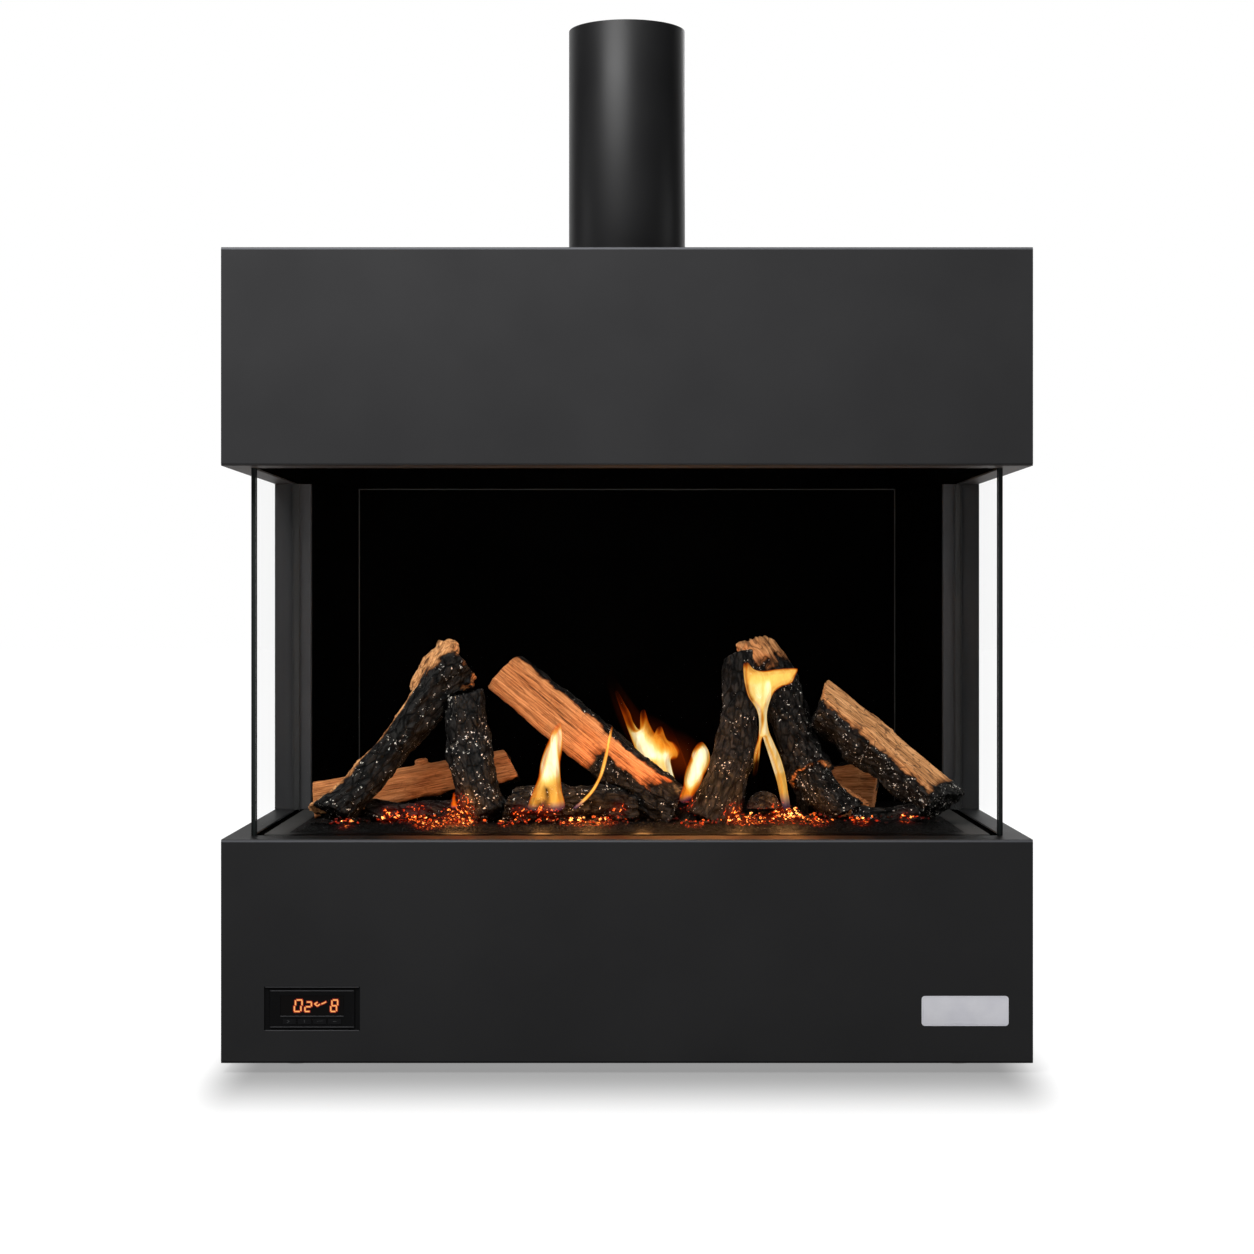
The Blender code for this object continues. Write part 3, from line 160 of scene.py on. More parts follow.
bpy.ops.mesh.primitive_plane_add(size=60.0, location=(0.0, 0.0, 0.0))
floor = bpy.context.object
floor.name = "floor"
material, tree, shader = new_material("white_floor")
white = (1.0, 1.0, 1.0, 1.0)
put(shader, {"Base Color": (0.16, 0.16, 0.16, 1.0), "Roughness": 1.0, "Specular IOR Level": 0.0,
             "Emission Color": white})
# Painted shadow: the floor's glow is held low close to the fire's front and back, only narrowly at its sides,
# and rises to full white further off.
painted_shadow_wide, painted_shadow_deep, painted_shadow_reach, painted_shadow_level = 0.44, 0.3, 0.34, 0.3
spot = xyz(object_place(tree))
aside = times(maths("MAXIMUM", minus(maths("ABSOLUTE", spot[0]), painted_shadow_wide), 0.0), 4.0)
before = maths("MAXIMUM", minus(maths("ABSOLUTE", spot[1]), painted_shadow_deep), 0.0)
away = maths("SQRT", plus(maths("POWER", aside, 2.0), maths("POWER", before, 2.0)))
level = span(away, 0.0, painted_shadow_reach, painted_shadow_level, 1.0, interpolation_type="SMOOTHSTEP")
put(shader, {"Emission Strength": times(white_to_rays(tree), level)})
floor.data.materials.append(material)

world = bpy.data.worlds.new("white_room")
world.use_nodes = True
scene.world = world
tree = world.node_tree
level = span(white_to_rays(tree), 0.0, 1.0, 0.12, 1.0)
put(tree.nodes["Background"], {"Strength": level, "Color": white})


def add_light(name, kind, place, power, **settings):
    """A light that isn't seen itself."""
    light = bpy.data.lights.new(name, kind)
    light.energy = power
    for key, value in settings.items():
        setattr(light, key, value)
    obj = add_object(name, light)
    obj.location = place
    obj.visible_camera = False
    obj.visible_transmission = False
    return obj


def add_lamp(name, place, target, size, power, spread=math.pi):
    """A soft square lamp that looks at a point. Spread is how wide it shines."""
    wide, high = size
    obj = add_light(name, "AREA", place, power, shape="RECTANGLE", size=wide, size_y=high, spread=spread)
    obj.rotation_euler = (Vector(target) - Vector(place)).to_track_quat("-Z", "Y").to_euler()


add_lamp("lamp_front", (-0.6, -1.5, 2.0), (0.0, -0.3, 0.95), (1.2, 0.9), 38.0)
add_lamp("lamp_top", (0.0, 0.2, 3.4), (0.0, 0.0, 0.0), (2.4, 2.4), 30.0)
for side, x in (("left", -2.4), ("right", 2.4)):
    add_lamp(f"lamp_{side}", (x, -0.2, 0.75), (0.0, -0.05, 0.42), (0.8, 0.8), 0.55, math.radians(36.0))
add_lamp("lamp_back", (0.6, 2.8, 2.1), (0.0, 0.3, 0.6), (1.4, 1.2), 20.0)
for side, x, goal, power in (("left", -0.21, -0.24, 0.6), ("right", 0.21, 0.26, 0.3)):
    add_lamp(f"lamp_chamber_{side}", (x, -0.19, 0.7), (goal, -0.05, 0.42), (0.3, 0.06), power)

material, tree, shader = new_material("black_velvet")
put(shader, {"Base Color": (0.0, 0.0, 0.0, 1.0), "Specular IOR Level": 0.0})
for side, x, y, turn in (("front", 0.0, -5.2, 0.0), ("left", -3.6, -0.5, math.pi / 2),
                         ("right", 3.6, -0.5, math.pi / 2)):
    bpy.ops.mesh.primitive_plane_add(size=8.0, location=(x, y, 2.0), rotation=(math.pi / 2, 0.0, turn))
    card = bpy.context.object
    card.name = f"black_card_{side}"
    card.visible_camera = card.visible_diffuse = card.visible_transmission = card.visible_shadow = False
    card.data.materials.append(material)


# The casing is folded from two-millimetre steel sheet: a base and a hood on three sides, a rear panel whose
# edges fold forwards, and narrow wings beside the fire chamber. All of it has a matt dark grey powder coat.
def node_group(name, inputs, outputs):
    """An empty node group, what comes into it with usual values, and its output node of numbers."""
    group = bpy.data.node_groups.new(name, "ShaderNodeTree")
    for label, value in inputs.items():
        kind = "NodeSocketFloat" if isinstance(value, float) else "NodeSocketVector"
        socket = group.interface.new_socket(name=label, in_out="INPUT", socket_type=kind)
        if value is not None:
            socket.default_value = value
    for label in outputs:
        group.interface.new_socket(name=label, in_out="OUTPUT", socket_type="NodeSocketFloat")
    return group, group.nodes.new("NodeGroupInput").outputs, group.nodes.new("NodeGroupOutput")


def use_group(tree, group, values):
    """A node that holds the group, with its own values."""
    return add_node(tree, "Group", values, node_tree=group)


def noise_level(place, scale, detail=2.0, **more):
    """A soft noise, about 0.5 in the middle."""
    values = {"Vector": place, "Scale": scale, "Detail": detail, **more}
    return add_node(place.id_data, "TexNoise", values).outputs[0]


def blend(share, first, second, how="MIX"):
    """Two colours mixed by a share."""
    values = {0: share, 6: first, 7: second}
    return add_node(tree_of(share, first), "Mix", values, data_type="RGBA", blend_type=how).outputs[2]


orange_peel, into, out = node_group(
    "orange_peel", {"Vector": None, "Scale": 700.0, "Rough": 0.5}, ("Height", "Roughness", "Tone"))
fine = noise_level(into["Vector"], into["Scale"], 3.0)
cloud = noise_level(into["Vector"], 6.0, 4.0)
uneven = plus(into["Rough"], times(minus(cloud, 0.5), 0.16))
put(out, {"Height": fine, "Roughness": uneven, "Tone": cloud})


def bump(shader, height, distance):
    """Feeds a height to the shader's normal."""
    values = {"Height": height, "Distance": distance, "Strength": 1.0}
    put(shader, {"Normal": add_node(shader.id_data, "Bump", values).outputs[0]})


def coated(name, dark, light, roughness, scale, depth, specular=0.5):
    """A powder-coated or moulded surface: an even colour with a fine grain and a slightly uneven gloss."""
    material, tree, shader = new_material(name)
    grain = use_group(tree, orange_peel, {"Vector": object_place(tree), "Scale": scale, "Rough": roughness})
    tone = ramp(grain.outputs["Tone"], (0.35, dark), (0.65, light))
    put(shader, {"Base Color": tone, "Roughness": grain.outputs["Roughness"], "Specular IOR Level": specular})
    bump(shader, grain.outputs["Height"], depth)
    return material


def dress(material, *names):
    """Gives the CAD nodes their finish."""
    for name in names:
        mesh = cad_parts[name].data
        for index in range(len(mesh.materials)):
            mesh.materials[index] = material


casing_paint = coated("casing_paint", (0.042, 0.042, 0.0435), (0.048, 0.048, 0.0495), 0.48, 900.0, 0.00006,
                      0.03)

# Along the upward bends the paint is lighter: a painted highlight. The level deck is painted near-black, most
# of all at the front, as painted shade for the dark chamber that it mirrors, and before the glass heat has
# turned its coat to a smooth gloss that mirrors the fire. Below the deck the base is painted darker, and the
# slots behind are painted dark in their bottoms: both painted shade.
tree = casing_paint.node_tree
shader = tree.nodes["Principled BSDF"]
paint = shader.inputs["Base Color"].links[0].from_socket
facing = xyz(add_node(tree, "NewGeometry").outputs["Normal"])[2]
# Painted highlight: lighter paint where a face slopes between upright and level, as on the bends.
painted_bend_highlight = span(times(facing, minus(1.0, facing)), 0.05, 0.2)
paint = blend(painted_bend_highlight, paint, (0.135, 0.138, 0.15, 1.0))
spot = xyz(object_place(tree))
before_glass = span(spot[1], -0.2485, -0.25)
inward = span(maths("ABSOLUTE", spot[0]), 0.3, 0.22)
level_deck = times(span(facing, 0.97, 0.995), span(spot[2], 0.3, 0.29))
# Painted shade: below the deck the paint is mixed about a fifth of the way towards black.
painted_base_shade = span(spot[2], 0.281, 0.279, 0.0, 0.22)
paint = blend(painted_base_shade, paint, (0.0, 0.0, 0.0, 1.0))
# Painted shade: the level deck is mixed towards near-black, most at the front, for the dark chamber it
# mirrors.
painted_deck_shade = times(level_deck, span(spot[1], 0.1, -0.1, 0.5, 0.93))
paint = blend(painted_deck_shade, paint, (0.002, 0.002, 0.002, 1.0))
heated = times(times(before_glass, inward), level_deck)
paint = blend(heated, paint, (0.016, 0.0055, 0.0015, 1.0))
# Painted shade: the bottoms of the slots in the rear panel are painted near-black.
slot = times(span(spot[1], 0.30375, 0.30365), span(spot[1], 0.30325, 0.30335))
paint = blend(slot, paint, (0.004, 0.004, 0.004, 1.0))
put(shader, {"Base Color": paint, "Coat Weight": heated, "Coat Roughness": 0.3,
             "Coat Tint": (1.0, 0.8, 0.55, 1.0)})
dress(casing_paint, "base_casing", "hood_casing", "back_panel", "hood_top", "wing_left", "wing_right",
      "flue_collar")


# The fire chamber is lined with thin steel in a dead black enamel: a back, two splayed sides, a lid with two
# relief openings, and the tray. The same enamel covers the channels that hold the glass.
chamber_black = coated("chamber_black", (0.0005,), (0.0009,), 0.7, 400.0, 0.00005, 0.0)
dress(chamber_black, "firebox_back", "firebox_liner_left", "firebox_liner_right", "firebox_ceiling",
      "lower_glass_channel", "upper_glass_channel")

# The tray's enamel is near-black across its middle, where the flames stand over it, and grey at its two ends.
material, tree, shader = new_material("tray_enamel")
place = object_place(tree)
grain = use_group(tree, orange_peel, {"Vector": place, "Scale": 400.0, "Rough": 0.55})
sideways = maths("ABSOLUTE", xyz(place)[0])
grey_end_share = plus(sideways, times(minus(grain.outputs["Tone"], 0.5), 0.03))
grey_end_share = span(grey_end_share, 0.4, 0.418)
put(shader, {"Base Color": ramp(grey_end_share, (0.0, (0.0006,)), (1.0, (0.034, 0.033, 0.032))),
             "Roughness": grain.outputs["Roughness"], "Specular IOR Level": 0.02})
bump(shader, grain.outputs["Height"], 0.00005)
dress(material, "burner_tray")


# The panes are clear ceramic glass, five millimetres thick, with ground edges. The front one stands between
# the two side ones, and rope seals close the side panes against the wings.
material, tree, shader = new_material("ceramic_glass")
put(shader, {"Base Color": (0.998, 0.9995, 0.999, 1.0), "Transmission Weight": 1.0, "IOR": 1.012,
             "Roughness": 0.0})
clear = add_node(tree, "BsdfTransparent", {"Color": (0.97, 0.98, 0.975, 1.0)})
path = add_node(tree, "LightPath")
either = add_node(tree, "MixShader",
                  {0: path.outputs["Is Shadow Ray"], 1: shader.outputs[0], 2: clear.outputs[0]})
tree.links.new(either.outputs[0], tree.nodes["Material Output"].inputs["Surface"])
dress(material, "glass_front", "glass_left", "glass_right")


def deselect():
    """Leaves nothing selected."""
    bpy.ops.object.select_all(action="DESELECT")


def take(*pieces):
    """Selects the pieces alone, with the first of them active."""
    deselect()
    for piece in pieces:
        piece.select_set(True)
    bpy.context.view_layer.objects.active = pieces[0]


def settle(piece, name, material, body):
    """Names a finished piece, puts its place into its mesh, gives it its material and fixes it to its body.
    """
    take(piece)
    bpy.ops.object.transform_apply(location=True, rotation=True, scale=True)
    piece.name = name
    piece.data.name = name
    piece.data.materials.clear()
    piece.data.materials.append(material)
    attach(piece, body)
    return piece


def join(pieces):
    """Joins the pieces into the first of them."""
    take(*pieces)
    if len(pieces) > 1:
        bpy.ops.object.join()
    return pieces[0]


def modify(piece, name, kind, **settings):
    """Adds a modifier and applies it."""
    take(piece)
    modifier = piece.modifiers.new(name, kind)
    for key, value in settings.items():
        setattr(modifier, key, value)
    bpy.ops.object.modifier_apply(modifier=name)


def middle_of(low, high):
    """The middle between two corners."""
    return [(a + b) / 2 for a, b in zip(low, high)]


def add_block(low, high, edge=0.0, segments=2):
    """A block between two corners, with its edges eased."""
    deselect()
    bpy.ops.mesh.primitive_cube_add(size=1.0, location=middle_of(low, high))
    block = bpy.context.object
    block.scale = [b - a for a, b in zip(low, high)]
    bpy.ops.object.transform_apply(location=True, rotation=False, scale=True)
    if edge:
        modify(block, "eased", "BEVEL", width=edge, segments=segments)
    return block


# The chamber's back sheet meets the splayed sides and the lid in folded seams. Their thin strips are painted
# lighter than the black enamel, as painted highlights along the folds.
back_low, back_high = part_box("firebox_back")
seam_aside, seam_half, seam_edge = 0.38, 0.0008, 0.0004
seam_front, seam_rear = back_low[1] - 0.0012, back_low[1] + 0.0002
seams = [add_block((side * seam_aside - seam_half, seam_front, back_low[2]),
                   (side * seam_aside + seam_half, seam_rear, back_high[2]), seam_edge) for side in (-1, 1)]
seams.append(add_block((-seam_aside, seam_front, back_high[2] - 0.0016),
                       (seam_aside, seam_rear, back_high[2]), seam_edge))
# Painted highlight: the seam strips are a lighter grey than the enamel round them.
seam_highlight_paint = coated("seam_painted_highlight", (0.016,), (0.026,), 0.5, 300.0, 0.00004, 0.2)
settle(join(seams), "chamber_seams", seam_highlight_paint, "casing")

# The panes' ground edges show as dark green lines. A painted highlight makes them lightest along their
# middle.
edge_material, tree, shader = new_material("ground_glass_edge")
across = xyz(object_place(tree))[0]
pane_middle = 0.4512
from_middle = maths("ABSOLUTE", minus(maths("ABSOLUTE", across), pane_middle))
grinding = noise_level(object_place(tree), 700.0, 3.0)
# Painted highlight: the colour lightens towards the middle of each edge, and the grinding adds its own grain.
edge_highlight_and_grinding = plus(times(from_middle, 300.0), times(grinding, 0.3))
put(shader, {"Base Color": ramp(edge_highlight_and_grinding, (0.15, (0.017, 0.023, 0.022)), (0.55, (0.003, 0.004, 0.004))),
             "Roughness": 0.5, "Specular IOR Level": 0.2})
bump(shader, grinding, 0.00005)
pane_low, pane_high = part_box("glass_right")
front_low, front_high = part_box("glass_front")
proud, sunk, strip, round_over = 0.0003, 0.0002, 0.0016, 0.0001
for label, side in (("left", -1), ("right", 1)):
    near, far = sorted((side * (pane_low[0] - sunk), side * (pane_high[0] + sunk)))
    edge = add_block((near, pane_low[1] - proud, pane_low[2]), (far, pane_low[1] + sunk, pane_high[2]),
                     round_over)
    settle(edge, f"side_pane_edge_{label}", edge_material, "casing")
    near, far = sorted((side * (front_high[0] - strip), side * front_high[0]))
    edge = add_block((near, front_low[1] - proud, front_low[2]), (far, front_low[1] + sunk, front_high[2]),
                     round_over)
    settle(edge, f"front_pane_edge_{label}", edge_material, "front_glass")

material, tree, shader = new_material("seal_rope")
place = add_node(tree, "Mapping", {"Vector": object_place(tree), "Rotation": (0.6, 0.5, 0.0)}).outputs[0]
weave = add_node(tree, "TexWave", {"Vector": place, "Scale": 160.0, "Distortion": 1.5, "Detail": 2.0})
put(shader, {"Base Color": ramp(weave.outputs["Fac"], (0.0, (0.008,)), (1.0, (0.03,))), "Roughness": 0.95})
bump(shader, weave.outputs["Fac"], 0.0006)
dress(material, "glass_seal_left", "glass_seal_right")


# Under the glass there is plain metalwork: a stainless burner with its mixing tube and pilot, zinc-plated
# pipes, feet and lever, a galvanised floor, and a brass cock beside the die-cast valve.
brushed, into, out = node_group(
    "brushed_metal", {"Vector": None, "Stretch": (40.0, 900.0, 900.0), "Rough": 0.35, "Spread": 0.18},
    ("Roughness", "Height", "Tone"))
scaled = add_node(brushed, "VectorMath", {0: into["Vector"], 1: into["Stretch"]},
                  operation="MULTIPLY").outputs[0]
lines = noise_level(scaled, 1.0, 3.0)
stain = noise_level(into["Vector"], 25.0, 5.0)
spread = times(minus(plus(lines, stain), 1.0), into["Spread"])
put(out, {"Roughness": plus(into["Rough"], spread), "Height": lines, "Tone": stain})


def metal(name, dark, light, roughness, stretch=(40.0, 900.0, 900.0), depth=0.00002):
    """A bare metal with drawing or grinding lines and soft stains."""
    material, tree, shader = new_material(name)
    marks = use_group(tree, brushed, {"Vector": object_place(tree), "Stretch": stretch, "Rough": roughness})
    tone = ramp(marks.outputs["Tone"], (0.35, dark), (0.65, light))
    put(shader, {"Base Color": tone, "Roughness": marks.outputs["Roughness"], "Metallic": 1.0})
    bump(shader, marks.outputs["Height"], depth)
    return material


dress(metal("stainless_steel", (0.42, 0.41, 0.39), (0.58, 0.57, 0.55), 0.32),
      "burner", "mixing_tube", "pilot", "flue_inner", "flue_spacer")
dress(metal("galvanised_steel", (0.42, 0.43, 0.45), (0.62, 0.63, 0.64), 0.42, (90.0, 90.0, 90.0)),
      "base_floor", "relief_flap_left", "relief_flap_right")
zinc = metal("zinc_plate", (0.5,), (0.64, 0.64, 0.62), 0.34, (300.0, 300.0, 300.0))
dress(zinc, "air_shutter", "supply_pipe", "burner_pipe", "cock_lever",
      "foot_left_front", "foot_left_rear", "foot_right_front", "foot_right_rear")
dress(metal("brass", (0.62, 0.42, 0.16), (0.78, 0.56, 0.26), 0.28), "gas_cock")
dress(metal("die_cast_alloy", (0.48, 0.48, 0.49), (0.6, 0.6, 0.61), 0.48, (500.0, 500.0, 500.0), 0.00008),
      "gas_valve")


# The outer flue pipe is rolled from one-millimetre steel and painted darker and glossier than the casing. A
# flat locked seam runs down its back, and its lower end stands over the collar on the hood.
pipe_paint = coated("pipe_paint", (0.009, 0.009, 0.0096), (0.012, 0.012, 0.0126), 0.45, 1200.0, 0.00003, 0.32)
pipe_low, pipe_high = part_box("flue_outer")
sheet = 0.001
deselect()
bpy.ops.mesh.primitive_cylinder_add(
    vertices=160, radius=(pipe_high[0] - pipe_low[0]) / 2, depth=pipe_high[2] - pipe_low[2],
    end_fill_type="NOTHING", location=middle_of(pipe_low, pipe_high))
pipe = bpy.context.object
modify(pipe, "sheet", "SOLIDIFY", thickness=sheet, offset=-1.0, use_even_offset=True)
modify(pipe, "deburred", "BEVEL", width=0.00025, segments=2, limit_method="ANGLE", angle_limit=1.0)
bpy.ops.object.shade_smooth_by_angle(angle=0.6)
seam_half = 0.005
seam = add_block((-seam_half, pipe_high[1] - 0.0006, pipe_low[2] + 0.003),
                 (seam_half, pipe_high[1] + 0.0008, pipe_high[2] - 0.001), 0.0004)
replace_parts(settle(join([pipe, seam]), "outer_flue_pipe", pipe_paint, "casing"), "flue_outer")


# The rear panel is stiffened by six shallow pressed fields. Slots for cooling air run above and below them.
# Zinc-plated screws hold the panel, each in its own dimple, so that the fire can stand flat against a wall.
def mode(name):
    """Goes into edit mode or back to object mode."""
    bpy.ops.object.mode_set(mode=name)


def cad_copy(node, name, gap):
    """A copy of a CAD node's mesh, with its points merged where they lie closer than a gap."""
    piece = add_object(name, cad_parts[node].data.copy())
    take(piece)
    mode("EDIT")
    bpy.ops.mesh.select_all(action="SELECT")
    bpy.ops.mesh.remove_doubles(threshold=gap)
    mode("OBJECT")
    return piece


panel = cad_copy("back_panel", "pressed_back_panel", 0.00001)
panel_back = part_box("back_panel")[1][1]
pressed_field = ((0.13, 0.155, 0.0011, 0.05), 0.014, 8)
air_slot = ((0.03, 0.0025, 0.0014, 0.01), 0.0024, 3)
cutters = []
for across, up, ((half_wide, half_high, deep, beyond), edge, segments) in (
    ((-0.3, 0.0, 0.3), (0.4, 0.75), pressed_field),
    ((-0.33, -0.25, -0.17, -0.09, 0.09, 0.17, 0.25, 0.33), (0.935, 0.947), air_slot),
    ((-0.4, -0.32, -0.24, -0.16, -0.08), (0.08, 0.095, 0.11, 0.125, 0.14), air_slot),
):
    for x in across:
        for z in up:
            cutters.append(add_block((x - half_wide, panel_back - deep, z - half_high),
                                     (x + half_wide, panel_back + beyond, z + half_high), edge, segments))
dimple_radius, screw_radius, screw_high, screw_sunk = 0.0075, 0.0045, 0.0012, 0.0009
screw_places = [(side * 0.464, z) for side in (-1, 1) for z in (0.05, 0.23, 0.4, 0.57, 0.75, 0.95)]
screw_places += [(x, z) for z in (0.035, 0.966) for x in (-0.3, 0.0, 0.3)]
for x, z in screw_places:
    deselect()
    bpy.ops.mesh.primitive_cylinder_add(vertices=32, radius=dimple_radius, depth=0.01,
                                        location=(x, panel_back + 0.0035, z),
                                        rotation=(math.pi / 2, 0.0, 0.0))
    cutters.append(bpy.context.object)
cutter = join(cutters)
modify(panel, "pressed", "BOOLEAN", object=cutter, operation="DIFFERENCE", solver="EXACT")
bpy.data.objects.remove(cutter)
bpy.ops.object.shade_flat()
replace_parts(settle(panel, "pressed_back_panel", casing_paint, "casing"), "back_panel")

deselect()
bpy.ops.mesh.primitive_cylinder_add(vertices=24, radius=screw_radius, depth=screw_high,
                                    rotation=(-math.pi / 2, 0.0, 0.0))
screw = bpy.context.object
bpy.ops.object.transform_apply(location=False, rotation=True, scale=False)
modify(screw, "rounded", "BEVEL", width=0.0004, segments=3, limit_method="ANGLE", angle_limit=1.0)
for face in screw.data.polygons:
    face.select = face.normal.y > 0.9 and len(face.vertices) > 8
mode("EDIT")
bpy.ops.mesh.select_mode(type="FACE")
bpy.ops.mesh.inset(thickness=0.0018, depth=0.0)
bpy.ops.mesh.inset(thickness=0.0002, depth=-0.0007)
mode("OBJECT")
bpy.ops.object.shade_smooth_by_angle(angle=0.5)
screws = []
for x, z in screw_places:
    screws.append(add_object("screw", screw.data.copy()))
    screws[-1].data.transform(Matrix.Translation((x, panel_back - screw_sunk, z)))
bpy.data.objects.remove(screw)
settle(join(screws), "panel_screws", zinc, "casing")


# The display is black moulded plastic: a frame set into the sheet, the module in it with its dark window, and
# four keys on their own switches. The same plastic is used for the receiver's box and the valve's knob.
display_black = coated("display_black", (0.007, 0.007, 0.0075), (0.009, 0.009, 0.0095), 0.36, 1800.0, 0.00003,
                       0.03)
dress(display_black, "display_bezel", "display_module", "receiver_box", "valve_knob")
key_black = coated("key_black", (0.012, 0.012, 0.013), (0.016, 0.016, 0.017), 0.5, 1500.0, 0.00003, 0.03)
dress(key_black, "display_key_1", "display_key_2", "display_key_3", "display_key_4")

material, tree, shader = new_material("screen_window")
smears = noise_level(object_place(tree), 60.0, 3.0)
put(shader, {"Roughness": ramp(smears, (0.3, (0.05,)), (0.7, (0.12,))),
             "Base Color": (0.0016, 0.0006, 0.0006, 1.0), "Specular IOR Level": 0.05})
dress(material, "display_screen")

# Narrow strips along the top and bottom of the frame, the module and the window are painted highlights.
highlight_bars, highlight_half = [], 0.00045
for low, high, rows in (
    ((-0.43, -0.3049), (-0.3186, -0.3024), (0.051, 0.1027)),
    ((-0.424, -0.3049), (-0.3246, -0.3044), (0.0553, 0.0983)),
    ((-0.4118, -0.3048), (-0.3368, -0.3044), (0.0682,)),
):
    for z in rows:
        highlight_bars.append(add_block((*low, z - highlight_half), (*high, z + highlight_half), 0.0002))
edge_highlight_paint = coated("painted_edge_highlight", (0.075, 0.075, 0.08), (0.115, 0.115, 0.12), 0.4, 1800.0, 0.00002, 0.1)
settle(join(highlight_bars), "display_edge_highlights", edge_highlight_paint, "casing")


# The digits are seven-segment figures of small red lamps behind the window, leaning a little to the right.
# Two small signs of thin bars stand between them.
digit_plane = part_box("display_screen")[0][1] - 0.0002
digit_foot, digit_lean, bar_share, bar_thick = 0.0738, 0.2, 0.84, 0.0015
segment_bars = {
    "top": (0.5, 1.0, True), "middle": (0.5, 0.5, True), "bottom": (0.5, 0.0, True),
    "upper_left": (0.0, 0.75, False), "upper_right": (1.0, 0.75, False),
    "lower_left": (0.0, 0.25, False), "lower_right": (1.0, 0.25, False),
}
figures = {
    "0": ("top", "bottom", "upper_left", "upper_right", "lower_left", "lower_right"),
    "2": ("top", "middle", "bottom", "upper_right", "lower_left"),
    "8": tuple(segment_bars),
}
bars = []


def store(mesh, **lists):
    """Stores a number or a vector for each point of a mesh, under each name."""
    for name, values in lists.items():
        values = np.asarray(values, float)
        kind, field = ("FLOAT", "value") if values.ndim == 1 else ("FLOAT_VECTOR", "vector")
        mesh.attributes.new(name, kind, "POINT").data.foreach_set(field, values.ravel())


def add_bar(x, z, length, thickness, lying, lean=0.0, tilt=0.0):
    """One glowing bar with slightly eased edges, and its dimmer glow on the window round it."""
    for spread, plane, glow in ((0.0, digit_plane, 1.0), (0.0016, digit_plane + 0.00018, 0.0)):
        long, wide = length + spread, thickness + spread
        size = (long, wide) if lying else (wide, long)
        low = (-size[0] / 2, -0.0001, -size[1] / 2)
        bar = add_block(low, [-value for value in low], 0.00004)
        bar.data.transform(Matrix.Translation((x + lean, plane, z)) @ Matrix.Rotation(tilt, 4, "Y"))
        store(bar.data, glow=[glow] * len(bar.data.vertices))
        bars.append(bar)


for figure, x, width, height in (
    ("0", -0.3947, 0.0078, 0.0136), ("2", -0.3822, 0.0066, 0.0112), ("8", -0.3514, 0.0068, 0.0136),
):
    for bar in figures[figure]:
        across, up, lying = segment_bars[bar]
        lean = (up - 0.5) * height * digit_lean
        length = (width if lying else height / 2) * bar_share
        add_bar(x + across * width, digit_foot + up * height, length, bar_thick, lying, lean)
sign_thick = 0.0013
for ax, az, bx, bz in (
    (-0.3714, 0.0828, -0.3681, 0.0802), (-0.3681, 0.0802, -0.365, 0.0823), (-0.3714, 0.0828, -0.368, 0.0846),
    (-0.3632, 0.0826, -0.3606, 0.0838), (-0.3606, 0.0836, -0.3577, 0.0853),
):
    add_bar((ax + bx) / 2, (az + bz) / 2, math.hypot(bx - ax, bz - az), sign_thick, True,
            tilt=-math.atan2(bz - az, bx - ax))
material, tree, shader = new_material("glowing_digit")
put(shader, {"Base Color": (0.05, 0.0, 0.0, 1.0)})


def stored(tree, name, output="Fac"):
    """A value that is stored on the mesh."""
    return add_node(tree, "Attribute", attribute_name=name).outputs[output]


flicker = noise_level(object_place(tree), 250.0)
glow = times(stored(tree, "glow"), plus(flicker, 0.5))
glow = ramp(glow, (0.0, (0.3, 0.01, 0.001)), (0.5, (1.0, 0.2, 0.03)), (1.0, (1.0, 0.46, 0.13)))
put(shader, {"Emission Color": glow, "Emission Strength": 1.0})
settle(join(bars), "display_digits", material, "casing")


# Each key carries a small sign: an arrow, a bar, a wave of dots and a dash. They are printed in grey on the
# moulded keys, and move with them.
material, tree, shader = new_material("key_print")
worn = noise_level(object_place(tree), 900.0, 3.0)
put(shader, {"Base Color": ramp(worn, (0.4, (0.012,)), (0.55, (0.055, 0.057, 0.06))), "Roughness": 0.6})
for number, strokes in enumerate((
    ((-0.0012, 0.0006, 0.0036, 0.6), (-0.0012, -0.0006, 0.0036, -0.6)),
    ((0.0, 0.0, 0.0034, math.pi / 2),),
    ((-0.0024, 0.0, 0.001, 0.0), (-0.0006, 0.0006, 0.001, 0.0),
     (0.0012, 0.0, 0.001, 0.0), (0.0028, 0.0006, 0.001, 0.0)),
    ((0.0, 0.0, 0.004, 0.0),),
), 1):
    key_low, key_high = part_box(f"display_key_{number}")
    marks = []
    for x, z, length, turn in strokes:
        mark = add_block((-length / 2, -0.00006, -0.00035), (length / 2, 0.00006, 0.00035), 0.00003)
        middle = Vector(((key_low[0] + key_high[0]) / 2 + x, key_low[1], (key_low[2] + key_high[2]) / 2 + z))
        mark.data.transform(Matrix.Translation(middle) @ Matrix.Rotation(turn, 4, "Y"))
        marks.append(mark)
    settle(join(marks), f"key_sign_{number}", material, f"display_key_{number}")


